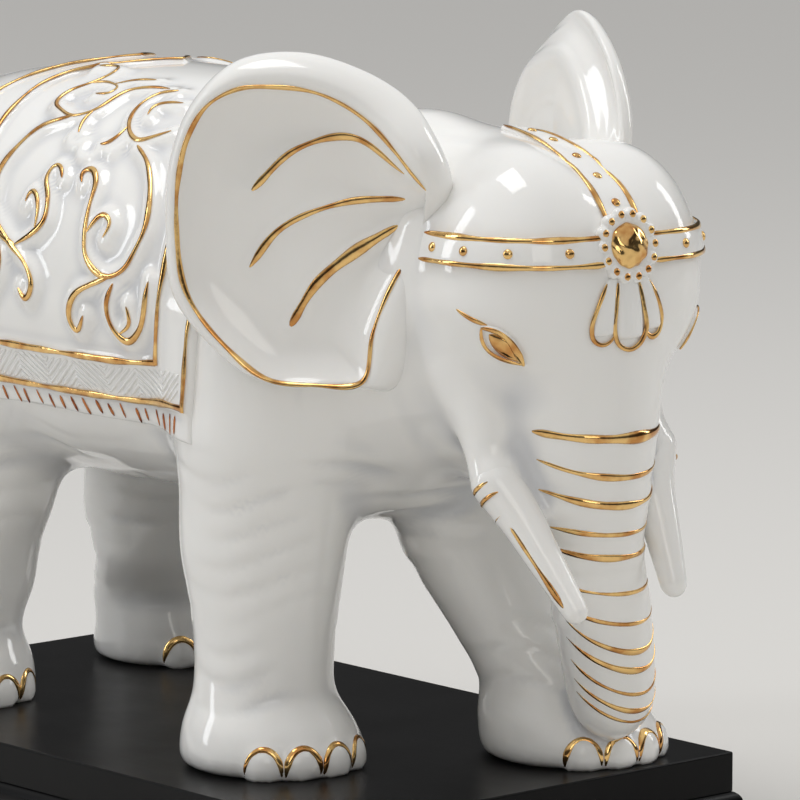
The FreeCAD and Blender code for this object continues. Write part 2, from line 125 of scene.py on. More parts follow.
def through(keys, values, at):
    # smooth curve through values at rising keys
    keys, values = np.asarray(keys, float), np.asarray(values, float)
    slopes = np.gradient(values, keys)
    spot = np.clip(np.searchsorted(keys, at) - 1, 0, len(keys) - 2)
    span = keys[spot + 1] - keys[spot]
    t = np.clip((at - keys[spot]) / span, 0, 1)
    return ((2 * t**3 - 3 * t**2 + 1) * values[spot] + (t**3 - 2 * t**2 + t) * span * slopes[spot]
            + (3 * t**2 - 2 * t**3) * values[spot + 1] + (t**3 - t**2) * span * slopes[spot + 1])


def lengthAlong(points):
    # distance from the start of a line to each of its points
    return np.concatenate([[0], np.cumsum(np.linalg.norm(np.diff(points, axis=0), axis=1))])


def curveThrough(points, spacing):
    # evenly spaced points on a smooth curve through a few chosen ones
    points = np.asarray(points, float)
    along = lengthAlong(points)
    count = max(3, int(along[-1] / spacing) + 1)
    at = np.linspace(0, along[-1], count)
    return np.stack([through(along, points[:, column], at) for column in range(points.shape[1])], axis=1)


def stackForm(space, stations, axes, endSoft):
    # oval sections along the first axis: (place on it, middle on the other two axes, half sizes on those two)
    key, first, second, halfFirst, halfSecond = (np.array(column) for column in zip(*stations))
    level, a, b = (space[axis] for axis in axes)
    wideA, wideB = through(key, halfFirst, level), through(key, halfSecond, level)
    radial = np.sqrt(((a - through(key, first, level)) / wideA)**2 + ((b - through(key, second, level)) / wideB)**2)
    ends = np.maximum(key[0] - level, level - key[-1])
    return softMax((radial - 1) * np.minimum(wideA, wideB), ends, endSoft)


def eggForm(space, middle, halves, axes=None):
    # an ellipsoid, turned to three axes of its own when they are given
    offsets = [space["x"] - middle[0], space["y"] - middle[1], space["z"] - middle[2]]
    if axes is not None:
        offsets = [offsets[0] * axis[0] + offsets[1] * axis[1] + offsets[2] * axis[2] for axis in axes]
    far = np.sqrt(sum((offset / half)**2 for offset, half in zip(offsets, halves)))
    steep = np.sqrt(sum((offset / half**2)**2 for offset, half in zip(offsets, halves))) + 1e-6
    return far * (far - 1) / steep


def rodForm(space, path, radii):
    # a round bar along a path, its radius changing from point to point
    field = np.full(np.broadcast_shapes(space["x"].shape, space["y"].shape, space["z"].shape), 1e3, np.float32)
    reach = max(radii) + 14
    for point, radius in zip(path, radii):
        part = []
        for axis, name in enumerate(("x", "y", "z")):
            grid = space[name].ravel()
            part.append(slice(np.searchsorted(grid, point[axis] - reach), np.searchsorted(grid, point[axis] + reach)))
        x, y, z = space["x"][part[0]], space["y"][:, part[1]], space["z"][:, :, part[2]]
        near = np.sqrt((x - point[0])**2 + (y - point[1])**2 + (z - point[2])**2) - radius
        field[tuple(part)] = np.minimum(field[tuple(part)], near)
    return field


def taperedRod(space, stations):
    # a round bar through rows of x, y, z and radius
    return rodForm(space, stations[:, :3], stations[:, 3])


def meshField(space, field):
    # surface of a field as points in millimetres and four-sided faces that look outwards
    grid = openvdb.FloatGrid(3 * space["step"])
    grid.copyFromArray(np.ascontiguousarray(np.clip(field, -3 * space["step"], 3 * space["step"]), dtype=np.float32))
    points, _, fours = grid.convertToPolygons(isovalue=0.0, adaptivity=0.0)
    points = points.astype(float) * space["step"] + space["low"]
    faces = fours.astype(np.int64)
    a, b, c, d = (points[faces[:, corner]] for corner in range(4))
    if np.einsum("ij,ij->", np.cross(c - a, d - b), (a + b + c + d) / 4 - points.mean(0)) < 0:
        faces = faces[:, ::-1]
    return points, faces


def edgesOf(faces):
    sides = np.concatenate([faces[:, [corner, (corner + 1) % faces.shape[1]]] for corner in range(faces.shape[1])])
    return np.unique(np.sort(sides, axis=1), axis=0)


def neighbourMean(points, edges):
    total = np.zeros_like(points)
    count = np.bincount(edges.ravel(), minlength=len(points))
    for column in range(points.shape[1]):
        total[:, column] = (np.bincount(edges[:, 0], points[edges[:, 1], column], len(points))
                            + np.bincount(edges[:, 1], points[edges[:, 0], column], len(points)))
    return total / np.maximum(count, 1)[:, None]


def relax(points, edges, rounds, floorZ=-math.inf):
    # smooths out the grid's steps without shrinking the form, and leaves its foot on the floor
    for turn in range(rounds):
        for push in (0.5, -0.52):
            moved = points + push * (neighbourMean(points, edges) - points)
            moved[:, 2] = np.where(points[:, 2] < floorZ + 0.6, points[:, 2], moved[:, 2])
            points = moved
    return points


def normalsOf(points, faces):
    a, c = points[faces[:, 0]], points[faces[:, 2]]
    b, d = points[faces[:, 1]], points[faces[:, -1]]
    across = np.cross(c - a, d - b)
    normals = np.stack([sum(np.bincount(faces[:, corner], across[:, column], len(points))
                            for corner in range(faces.shape[1])) for column in range(3)], axis=1)
    return normals / (np.linalg.norm(normals, axis=1)[:, None] + 1e-9)


def addObject(name, data):
    thing = bpy.data.objects.new(name, data)
    bpy.context.scene.collection.objects.link(thing)
    return thing


def handOver(piece, slot, *nodes):
    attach(piece, "figure")
    if nodes:
        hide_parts(*nodes)


def makePiece(name, points, faces, material, slot, *nodes):
    # a smooth piece from points in millimetres
    mesh = bpy.data.meshes.new(name)
    mesh.from_pydata((np.asarray(points) * mm).tolist(), [], np.asarray(faces).tolist()
                     if isinstance(faces, np.ndarray) else faces)
    mesh.polygons.foreach_set("use_smooth", [True] * len(mesh.polygons))
    mesh.update()
    mesh.materials.append(material)
    piece = addObject(name, mesh)
    handOver(piece, slot, *nodes)
    return piece


# materials

def hexColour(code):
    # sRGB hex to the linear colour that the shader takes
    parts = [int(code[i:i + 2], 16) / 255 for i in (1, 3, 5)]
    return tuple([part / 12.92 if part <= 0.04045 else ((part + 0.055) / 1.055)**2.4 for part in parts] + [1.0])


def addNode(tree, kind, settings=None, links=None):
    node = tree.nodes.new(kind)
    for key, value in (settings or {}).items():
        if key in node.inputs.keys() or isinstance(key, int):
            node.inputs[key].default_value = value
        else:
            setattr(node, key, value)
    for key, source in (links or {}).items():
        tree.links.new(source, node.inputs[key])
    return node


def sumOf(tree, operation, *sources):
    # a Math node on sockets and plain numbers
    node = addNode(tree, "ShaderNodeMath", {"operation": operation})
    for spot, source in enumerate(sources):
        if isinstance(source, float):
            node.inputs[spot].default_value = source
        else:
            tree.links.new(source, node.inputs[spot])
    return node.outputs[0]


def patternOf(tree, pitch, kind="ShaderNodeTexNoise", stretch=None, **settings):
    # a pattern on the object's own coordinates, its pitch in millimetres
    place = addNode(tree, "ShaderNodeTexCoord").outputs["Object"]
    if stretch:
        place = addNode(tree, "ShaderNodeMapping", {"Scale": stretch}, {"Vector": place}).outputs[0]
    return addNode(tree, kind, {"Scale": 1000 / pitch, **settings}, {"Vector": place}).outputs["Fac"]


def rampOf(tree, source, stops):
    ramp = addNode(tree, "ShaderNodeValToRGB", links={"Fac": source})
    elements = ramp.color_ramp.elements
    while len(elements) < len(stops):
        elements.new(0.5)
    for element, (place, colour) in zip(elements, stops):
        element.position, element.color = place, colour
    return ramp.outputs["Color"]


def makeMaterial(name, look):
    # tint, dullness and relief each follow a pattern; all other settings are fixed
    material = bpy.data.materials.new(name)
    material.use_nodes = True
    tree = material.node_tree
    tree.nodes.clear()
    shader = addNode(tree, "ShaderNodeBsdfPrincipled", look.get("fixed"))
    addNode(tree, "ShaderNodeOutputMaterial", links={"Surface": shader.outputs[0]})
    cloud = patternOf(tree, **look["pattern"])
    if "roughness" in look:
        low, high = look["roughness"]
        dull = addNode(tree, "ShaderNodeMapRange", {"To Min": low, "To Max": high}, {"Value": cloud})
        tree.links.new(dull.outputs[0], shader.inputs["Roughness"])
    if "paintedShadeShare" in look:
        # painted shade, greyer where the surface is concave, with the pattern as a slight random unevenness
        paintedShade = addNode(tree, "ShaderNodeAttribute", {"attribute_name": "paintedShade"})
        share = look["paintedShadeShare"]
        uneven = sumOf(tree, "MULTIPLY_ADD", cloud, share, -share / 2)
        cloud = sumOf(tree, "ADD", paintedShade.outputs["Fac"], uneven)
    tint = rampOf(tree, cloud, [(place, hexColour(colour)) for place, colour in look["tint"]])
    tree.links.new(tint, shader.inputs["Base Color"])
    if "relief" in look:
        strength, distance = look["strength"], look["distance"]
        bump = addNode(tree, "ShaderNodeBump", {"Strength": strength, "Distance": distance * mm},
                       {"Height": patternOf(tree, **look["relief"])})
        tree.links.new(bump.outputs[0], shader.inputs["Normal"])
    return material


feltHair = {"pitch": 1000 / 1400, "Detail": 5.0}
sawMarks = {"pitch": 1000 / 220, "kind": "ShaderNodeTexWave", "Distortion": 4.0, "Detail": 2.0}
looks = {
    # slip-cast porcelain under a clear fired glaze: white with depth, mirror-like, very slightly wavy, with painted
    # shade that greys it where the surface is hollow
    "glazedPorcelain": {
        "fixed": {"Roughness": 0.07, "IOR": 1.5, "Subsurface Weight": 0.12, "Subsurface Scale": 1.0,
                  "Subsurface Radius": (0.004, 0.0035, 0.003)},
        "pattern": {"pitch": 1000 / 18, "Detail": 2.0}, "paintedShadeShare": 0.16,
        "tint": ((0.0, "#F7F6F3"), (1.0, "#DCDDDF")),
        "relief": {"pitch": 14, "Detail": 1.0}, "strength": 0.35, "distance": 0.2},
    # fired gold lustre brushed on the glaze: bright warm metal, browner where the stroke runs thin
    "goldLustre": {
        "fixed": {"Metallic": 1.0}, "pattern": {"pitch": 8.8, "Detail": 3.0}, "roughness": (0.07, 0.20),
        "tint": ((0.36, "#C58C50"), (0.56, "#EFC682")),
        "relief": {"pitch": 2.2, "Detail": 2.0}, "strength": 0.25, "distance": 0.3},
    # the same lustre put on thinly, copper red
    "thinGoldLustre": {
        "fixed": {"Metallic": 1.0}, "pattern": {"pitch": 6.4, "Detail": 3.0}, "roughness": (0.14, 0.30),
        "tint": ((0.36, "#8E4A2A"), (0.56, "#C98250")),
        "relief": {"pitch": 1.6, "Detail": 2.0}, "strength": 0.25, "distance": 0.3},
    # sprayed black lacquer on a fine-grained board: deep black, soft mirror, grain just telegraphing through
    "blackLacquer": {
        "fixed": {"Specular IOR Level": 0.14}, "pattern": {"pitch": 1000 / 30, "Detail": 3.0},
        "roughness": (0.24, 0.38), "tint": ((0.35, "#060607"), (0.75, "#0B0B0C")),
        "relief": {"pitch": 3.0, "Detail": 4.0, "stretch": (0.08, 1.0, 1.0)}, "strength": 0.12, "distance": 0.2},
    # black wool felt: no gloss, short matted hair
    "pressedFelt": {
        "fixed": {"Roughness": 0.95, "Sheen Weight": 0.3}, "pattern": feltHair,
        "tint": ((0.3, "#0D0D0E"), (0.7, "#242426")), "relief": feltHair, "strength": 0.6, "distance": 0.4},
    # unfinished softwood blocks inside the plinth: pale, dry, saw-marked
    "sawnPine": {
        "fixed": {"Roughness": 0.75}, "pattern": sawMarks,
        "tint": ((0.2, "#D9BC8C"), (0.8, "#B98F59")), "relief": sawMarks, "strength": 0.3, "distance": 0.3},
    # bright zinc-plated steel screws, faintly mottled
    "zincPlate": {
        "fixed": {"Metallic": 1.0}, "pattern": {"pitch": 1000 / 900, "Detail": 2.0}, "roughness": (0.25, 0.4),
        "tint": ((0.3, "#B9BCC0"), (0.7, "#DADCDE"))},
}
porcelain, gold, thinGold, lacquer, felt, pine, zinc = (makeMaterial(*look) for look in looks.items())
print("materials made")


# the casting: torso, legs, head, trunk and tail as one glazed skin

castShape = {
    "voxel": 2.04,            # mm between grid points
    "legBlend": 16, "neckBlend": 26, "headBlend": 14, "nailBlend": 1.8,
    "trunkFree": 66,          # below this height the trunk hangs clear of the chest
    "foldPitch": 11.0, "foldDepth": 0.62, "foldWidth": 1.5,   # skin folds on legs and chest
    "legHeights": (1.5, 6, 14, 27, 44, 62, 78),
    "nailHalves": (3.6, 6.9, 8.6), "nailPitch": 25.5, "nailUp": 3.5, "nailInset": 1.6,
    "nailTurns": {"front_right": -7, "front_left": 3, "rear_right": -8, "rear_left": 6},
    "torsoShares": (0.012, 0.05, 0.10, 0.18, 0.28, 0.40, 0.52, 0.64, 0.76, 0.86, 0.94, 0.985),
    # (x, y, height over the board, radius) along the neck, which carries the chest on into the head
    "neck": [(100, 4, 168, 50), (124, 9, 172, 47), (146, 12, 171, 41)],
    # (x, y, height over the board), half sizes and blend
    "withers": ((104, 4, 195), (42, 42, 47), 20), "chest": ((76, 2, 117), (36, 36, 27), 14),
    "sheathBlend": 17, "trunkBlend": 9, "trunkFreeBlend": 2.5, "earBlend": 8, "tailBlend": 4,
}
# how a leg's sections move along x and y and grow, foot first
legTrim = {
    "leg_front_right": [(0, 0, 0), (0, 0, 0), (-0.9, -0.7, -0.3), (-2.5, -2.1, -0.6), (-2.9, -2.4, -0.7),
                        (-3.6, -2.3, 0.2), (-4.6, -2.4, 1.8), (-4.0, 0, 3.2), (-2, 0, 2.5)],
    "leg_front_left": [(0, 0, 0), (0, 0, 0), (0, 0, 0), (0, 0, 0), (-0.8, 0, 0.8), (-2.4, -0.6, 2.2),
                       (-3.0, -0.8, 3.4), (-3.0, 0, 3.6), (-2, 0, 2.5)],
    "leg_rear_right": [],
    "leg_rear_left": [(1.5, 0, -1.5), (1.7, 0, -1.7), (1.5, 0, -1.6), (-2.0, 0, 2.2), (-6.3, 0, 6.3), (-1.8, 0, 1.8),
                      (0.4, 0, -0.4)],
}
# above the CAD leg: height over the board, widening along x and y, share of the way into the torso
legRise = {
    "half": 28.5,
    "front": {"lean": 6, "reach": 48,
              "sections": [(104, 1.06, 1.05, 0.30), (124, 1.18, 1.12, 0.62), (146, 1.20, 1.10, 0.90),
                           (168, 1.05, 0.95, 1.0)]},
    "rear": {"lean": -2, "reach": 50,
             "sections": [(104, 1.30, 1.12, 0.3), (126, 1.55, 1.2, 0.6), (148, 1.62, 1.2, 0.85),
                          (170, 1.4, 1.0, 1.0)]},
}
# upper head: forward, left (mirrored) and up from between the eyes, half sizes, blend
headForms = [
    (-26, 0, 18, 39.5, 46, 42, 12),    # cranium
    (-22.5, 19.5, 27, 38, 31, 42, 8),  # twin domes of the forehead
    (-50, -6, 26, 40, 40, 45, 16),     # back of the head
    (-45, 21, -14, 20, 18, 32, 14),    # cheeks behind the tusks
    (-26, 0, -58, 21, 15, 14, 12),     # lower jaw
    (-44, 0, -44, 22, 20, 20, 16),     # throat
]
# face, narrowing from the brow to the trunk: up, forward, left, half size forward, half size sideways
faceStations = [
    (-66, -6, 0, 19, 18), (-52, -9, 0, 23, 19.5), (-40, -14, 0, 30, 23), (-28, -19, 0, 35.5, 27.5),
    (-19, -22, 0, 39.5, 30.5), (-10, -24, 0, 42, 37), (0, -25, 0, 43.5, 46.5), (12, -25, 0, 43.5, 52),
    (26, -27, 0, 43, 51.5), (40, -28, 0, 40, 47), (52, -29, 0, 37, 40),
]


def addLegs(space, field):
    # the CAD leg's sections below the belly, carried up into a shoulder or haunch that leans into the torso
    for name, trim in legTrim.items():
        stations = []
        for height in castShape["legHeights"]:
            middle, half = cutOf(name, 2, boardTop + height)
            stations.append((boardTop + height, middle[0], middle[1], half[0], half[1]))
        z, x, y, halfX, halfY = stations[-1]
        upper = legRise["front" if "front" in name else "rear"]
        reachX = upper["lean"] - (14 if name == "leg_front_left" else 0)
        reachY = (upper["reach"] if "left" in name else -upper["reach"]) - y
        for height, wide, deep, share in upper["sections"]:
            stations.append((boardTop + height, x + reachX * share, y + reachY * share, legRise["half"] * wide,
                             legRise["half"] * deep))
        stations[0] = (boardTop, *stations[0][1:])
        for spot, (moveX, moveY, grow) in enumerate(trim):
            z, x, y, halfX, halfY = stations[spot]
            stations[spot] = (z, x + moveX, y + moveY, halfX + grow, halfY + grow)
        field = softMin(field, stackForm(space, stations, "zxy", 5), castShape["legBlend"])
    return field


def nailPlaces():
    # four nails side by side round the front of each foot
    places = []
    for leg, turn in castShape["nailTurns"].items():
        middle, half = cutOf("leg_" + leg, 2, boardTop + 5)
        for step in (-1.5, -0.5, 0.5, 1.5):
            angle = math.radians(turn + step * castShape["nailPitch"])
            outward = np.array([math.cos(angle), math.sin(angle), 0.0])
            foot = np.array([middle[0], middle[1], boardTop + castShape["nailUp"]])
            places.append((foot + outward * (half[0] - castShape["nailInset"]), outward))
    return places


trunkShape = {
    # places on the head with a radius, then heights of the cuts through the CAD trunk, then a tip beyond the last
    "root": [(-12, 0, 2, 27), (-9, 0, -18, 26), (-7, 0, -36, 23.6), (-7, 1.5, -50, 21.3)],
    "heights": (100, 88, 76, 64, 52, 44, 36, 29), "inset": 2.5, "grow": 0.6,
    "tip": (-1, 1, -4), "tipRadius": 13.4,
}


def trunkPath():
    # middle line and radius of the trunk, from its root in the face to the tip on the toes
    stations = [(*onHead(*spot), radius) for *spot, radius in trunkShape["root"]]
    for height in trunkShape["heights"]:
        middle, half = cutOf("trunk", 2, boardTop + height)
        stations.append((*(middle - headSide * trunkShape["inset"])[:2], boardTop + height,
                         half[1] + trunkShape["grow"]))
    stations.append((*(np.array(stations[-1][:3]) + trunkShape["tip"]), trunkShape["tipRadius"]))
    return curveThrough(stations, 2.0)


# growth over the CAD tusk, its inset towards the trunk, how far its tip ends short and its sheath's shift, per side
tuskShape = {"right": {"grow": 1.10, "inset": 0, "short": 0.7, "inward": 2.0},
             "left": {"grow": 1.12, "inset": 2.2, "short": 2.0, "inward": -2.5}}


def tuskStations(side):
    # the tusk's middle line and radius from the CAD, root first, its tip drawn out to a rounded end
    low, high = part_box("tusk_" + side)
    stations = []
    for share in (0.80, 0.60, 0.42, 0.25, 0.10):
        middle, half = cutOf("tusk_" + side, 2, (low[2] + (high[2] - low[2]) * share) / mm)
        middle = middle - headSide * tuskShape[side]["inset"] * (1 - share)
        stations.append((*middle, half[0] * tuskShape[side]["grow"]))
    return stations


def tuskSheath(side):
    # the cheek's swelling over the tusk's root
    root, second = tuskStations(side)[:2]
    place = np.array(root[:3]) - headMid
    forward, left = place @ headFront, place @ headSide
    inward = tuskShape[side]["inward"]
    return [(*onHead(forward - 16, left + inward, -12), 12), (*onHead(forward - 10, left + inward, -26), 11),
            (*onHead(forward - 4, left + inward * 0.4, place[2] + 7), 9.0), (*root[:3], root[3] - 0.3),
            (*second[:3], second[3] * 0.75)]


# the ears' dished shape, in millimetres: outward from the head's side, and up from the board

earShape = {
    "outline": [(-6, 228), (5, 249), (30, 265), (51, 270), (74, 266), (89, 251), (97, 231), (98.5, 205), (96, 181),
                (84, 165), (68, 153), (51, 149), (30, 150), (17, 148), (9, 158), (0, 190)],
    "rim": [(2, 222), (13, 236), (26, 248), (42, 256), (58, 258), (71, 257), (82, 251), (89, 240), (93, 223),
            (93.5, 206), (90, 183), (76, 164), (60, 152), (44, 150.5), (26, 152), (22, 170), (15, 188), (6, 203)],
    "veins": [([(67, 220), (51, 235), (30, 240), (10, 228)], 1.0),
              ([(68, 192), (58, 205), (34, 216), (11, 218)], 0.9),
              ([(53, 171), (43, 187), (30, 198), (14, 208)], 1.5)],
    "rootLine": [(7, 206), (8, 192), (10, 176)],
    "middle": (50, 208), "crest": 4.5, "dishDepth": 9.0, "dishReach": 8.0, "thickness": 5.0,
    "veinHeight": 0.9, "veinWidth": 3.2, "backFill": 5.0, "rounds": 360, "rings": (92, 60),
    "rollDrop": {"right": 0.52, "left": 0.12}, # how steeply the rim falls away outside its gold line
    "cornerDrop": {"right": 0, "left": 3.0},   # how far the upper outer corner is rounded off
    "tipIn": {"right": 0, "left": 0.27},       # how far the tip is drawn in towards the head
    "curl": {"right": 0, "left": 5.0},         # how far the outer edge curls back
    "fold": {"right": 8.5, "left": 0.5},       # how far the top of the rim rolls forward over the temple
}


def closedCurve(points, spacing):
    # smooth loop through chosen points
    ring = list(points[-3:]) + list(points) + list(points[:3])
    curve = curveThrough(ring, spacing)
    start = np.argmin(np.linalg.norm(curve[:len(curve) // 2] - points[0], axis=1))
    end = len(curve) // 2 + np.argmin(np.linalg.norm(curve[len(curve) // 2:] - points[0], axis=1))
    return curve[start:end]


def distanceTo(curve, u, v):
    # distance from each point to a row of line segments
    points = np.stack([np.ravel(u), np.ravel(v)], axis=1).astype(np.float32)
    a, b = curve[:-1].astype(np.float32), curve[1:].astype(np.float32)
    best = np.full(len(points), 1e9, np.float32)
    for start, end in zip(a, b):
        run = end - start
        t = np.clip(((points - start) @ run) / (run @ run + 1e-9), 0, 1)
        gap = points - start - t[:, None] * run
        best = np.minimum(best, gap[:, 0]**2 + gap[:, 1]**2)
    return np.sqrt(best).reshape(np.shape(u))


def insideOf(loop, u, v):
    inside = np.zeros(np.shape(u), bool)
    for (ax, ay), (bx, by) in zip(loop, np.roll(loop, -1, axis=0)):
        cross = (ay > v) != (by > v)
        inside ^= cross & (u < (bx - ax) * (v - ay) / (by - ay + 1e-12) + ax)
    return inside


def rounded(side, curve):
    # the same line with the ear's upper outer corner let down and its tip drawn in
    u, v = curve.T
    drop = earShape["cornerDrop"][side] * np.exp(-((u - 74) / 15)**2) * smoothStep(222, 256, v)
    drawnIn = earShape["tipIn"][side] * (0.12 + smoothStep(220, 300, v))
    return np.stack([u * (1 - drawnIn), v - drop], axis=1)


earOutline = {side: rounded(side, closedCurve(earShape["outline"], 2.0)) for side in ("right", "left")}
earRim = {side: rounded(side, curveThrough(earShape["rim"], 1.2)) for side in ("right", "left")}
earVeins = [(curveThrough(points, 1.2), wide) for points, wide in earShape["veins"]]


def earPlane(side):
    # normal, outward direction and place of the flat CAD ear
    points, normal = flatNormal("ear_" + side)
    normal[2] = 0
    normal = unit(normal)
    outward = np.cross(normal, headUp)
    if outward @ (points.mean(0) - headMid) < 0:
        outward = -outward
    across = points @ normal
    return {"normal": normal, "outward": outward, "at": (across.min() + across.max()) / 2,
            "out": (points @ outward).max() - 98.5, "up": points[:, 2].max() - 270}


earPlanes = {"right": earPlane("right"), "left": earPlane("left")}


def earPoint(side, u, v, height):
    plane = earPlanes[side]
    return (plane["outward"] * (plane["out"] + u) + headUp * (plane["up"] + v)
            + plane["normal"] * (plane["at"] + height))


def earHeight(side, u, v, front=True):
    # the ear over its plane: a dish inside the rim, and the rim rolling back outside it
    shape = earShape
    outline = earOutline[side]
    outer = distanceTo(np.vstack([outline, outline[:1]]), u, v)
    rim = distanceTo(earRim[side], u, v)
    dished = insideOf(earRim[side], u, v)
    dish = -shape["dishDepth"] * (1 - np.exp(-rim / shape["dishReach"]))
    dish = dish + 2.2 * smoothStep(10, 42, rim)
    band = rim + outer + 1e-6
    share = rim / band
    roll = band * (0.16 * np.sin(math.pi * share) - shape["rollDrop"][side] * share**2)
    height = shape["crest"] + np.where(dished, dish, np.maximum(roll, -9))
    root = np.hypot(u - 6, v - 208)
    height = height - 5 * np.exp(-(root / 20)**2)
    height = height + shape["fold"][side] * np.exp(-((u - 1) / 17)**2 - ((v - 236) / 22)**2)
    height = height - shape["curl"][side] * np.clip(u / 98, 0, 1.1)**2
    if not front:
        # behind the rim the back is filled out plain and round
        height = height - shape["backFill"] * np.exp(-(rim / 8)**2) * smoothStep(0, 5, outer)
    if front:
        for curve, wide in earVeins:
            far = distanceTo(curve, u, v)
            height = height + shape["veinHeight"] * wide * np.exp(-(far / shape["veinWidth"])**2) \
                + 0.8 * np.exp(-(far / 9)**2)
    return height, outer


def makeEar(side):
    shape = earShape
    middle = np.array(shape["middle"], float)
    turns = np.linspace(0, 2 * math.pi, shape["rounds"], endpoint=False)
    loop = earOutline[side] - middle
    angles = np.unwrap(np.arctan2(loop[:, 1], loop[:, 0]))
    order = np.argsort(np.mod(angles, 2 * math.pi))
    reach = np.interp(turns, np.mod(angles, 2 * math.pi)[order], np.hypot(*loop.T)[order], period=2 * math.pi)
    front, back = shape["rings"]
    shareFront = 1 - (1 - np.linspace(0, 1, front + 1)[1:])**1.4
    shareBack = (1 - (np.linspace(0, 1, back + 1)[:-1])**1.8)[1:]
    points = []
    half = shape["thickness"] / 2
    for shares, sign in ((shareFront, 1), (shareBack, -1)):
        u = middle[0] + np.cos(turns)[None, :] * reach[None, :] * shares[:, None]
        v = middle[1] + np.sin(turns)[None, :] * reach[None, :] * shares[:, None]
        height, outer = earHeight(side, u, v, sign > 0)
        edge = np.clip(outer / half, 0, 1)
        height = height - half + sign * half * np.sqrt(np.clip(1 - (1 - edge)**2, 0, 1))
        points.append(np.stack([u, v, height], axis=2))
    rings = np.concatenate(points)
    rings[:, :, 2] = 0.5 * rings[:, :, 2] + 0.25 * (np.roll(rings[:, :, 2], 1, 1) + np.roll(rings[:, :, 2], -1, 1))
    count = len(rings)
    ends = [rings[0, :, 2].mean(), rings[-1, :, 2].mean()]
    flat = np.vstack([rings.reshape(-1, 3), [[*middle, ends[0]], [*middle, ends[1]]]])
    plane = earPlanes[side]
    solid = earPoint(side, flat[:, :1], flat[:, 1:2], flat[:, 2:3])
    rounds = shape["rounds"]
    faces = []
    for turn, step in zip(range(rounds), [*range(1, rounds), 0]):
        faces += [(start + turn, start + rounds + turn, start + rounds + step, start + step)
                  for start in range(0, (count - 1) * rounds, rounds)]
        faces.append((count * rounds, turn, step))
        faces.append((count * rounds + 1, (count - 1) * rounds + step, (count - 1) * rounds + turn))
    # the outward direction and up make the faces wind one way on one side and the other way on the other
    if np.cross(plane["outward"], headUp) @ plane["normal"] < 0:
        faces = [face[::-1] for face in faces]
    makePiece("ear" + side.capitalize(), solid, faces, porcelain, "glazed_porcelain", "ear_" + side)


def headField(space):
    # face, cranium, jaw and the cheeks over the tusks' roots, without the trunk
    axes = (headFront, headSide, headUp)
    away = (space["x"] - headMid[0], space["y"] - headMid[1])
    headSpace = {"x": away[0] * headFront[0] + away[1] * headFront[1],
                 "y": away[0] * headSide[0] + away[1] * headSide[1], "z": space["z"] - headMid[2]}
    head = stackForm(headSpace, faceStations, "zxy", 14)
    for forward, left, up, halfX, halfY, halfZ, blend in headForms:
        for side in ((1, -1) if left > 0 else (1,)):
            form = eggForm(space, onHead(forward, left * side, up), (halfX, halfY, halfZ), axes)
            head = softMin(head, form, blend)
    for side in ("right", "left"):
        sheath = curveThrough(tuskSheath(side), 2.0)
        head = softMin(head, taperedRod(space, sheath), castShape["sheathBlend"])
    return head


def addTail(space, field):
    low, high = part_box("tail")
    stations = []
    for height in np.linspace(high[2] / mm - 6, low[2] / mm + 3, 9):
        middle, half = cutOf("tail", 2, height)
        stations.append((*middle[:2], height, half[1]))
    return softMin(field, taperedRod(space, curveThrough(stations, 2.0)), castShape["tailBlend"])


def addEgg(space, field, name):
    (x, y, height), halves, blend = castShape[name]
    return softMin(field, eggForm(space, (x, y, boardTop + height), halves), blend)


def makeCasting():
    shape = castShape
    low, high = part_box("torso_shell")
    rear, front = low[0] / mm, high[0] / mm
    lowCorner = [rear - 12, -104, boardTop - 6]
    highCorner = [onHead(40, 0, 0)[0] + 8, 104, high[2] / mm + 16]
    space = makeSpace(lowCorner, highCorner, shape["voxel"])
    length = front - rear
    stations = []
    for share in shape["torsoShares"]:
        middle, half = cutOf("torso_shell", 0, rear + share * length)
        stations.append((rear + share * length, middle[1], middle[2], half[1], half[2]))
    field = stackForm(space, stations, "xyz", 20)
    neck = curveThrough([(x, y, boardTop + height, radius) for x, y, height, radius in shape["neck"]], 5)
    field = softMin(field, taperedRod(space, neck), shape["neckBlend"])
    field = addEgg(space, field, "withers")
    field = addLegs(space, field)
    field = addEgg(space, field, "chest")
    print("torso and legs formed")

    trunk = trunkPath()
    free = trunk[:, 2] < boardTop + shape["trunkFree"]
    head = softMin(headField(space), taperedRod(space, trunk[~free]), shape["trunkBlend"])
    field = softMin(field, head, shape["headBlend"])
    field = softMin(field, taperedRod(space, trunk[free]), shape["trunkFreeBlend"])
    for side in ("right", "left"):
        roots = curveThrough([(*earPoint(side, u, v, -5), 4.5) for u, v in earShape["rootLine"]], 2.0)
        field = softMin(field, taperedRod(space, roots), shape["earBlend"])
    print("head and trunk formed")

    field = addTail(space, field)
    for spot, outward in nailPlaces():
        nail = eggForm(space, spot, shape["nailHalves"], (outward, np.cross(headUp, outward), headUp))
        field = softMin(field, nail, shape["nailBlend"])
    field = np.maximum(field, boardTop + 0.05 - space["z"])

    points, faces = meshField(space, field)
    edges = edgesOf(faces)
    points = relax(points, edges, 3, boardTop)
    normals = normalsOf(points, faces)
    points = points + normals * skinFolds(points)[:, None]
    points[:, 2] = np.maximum(points[:, 2], boardTop + 0.05)
    return points, faces, edges


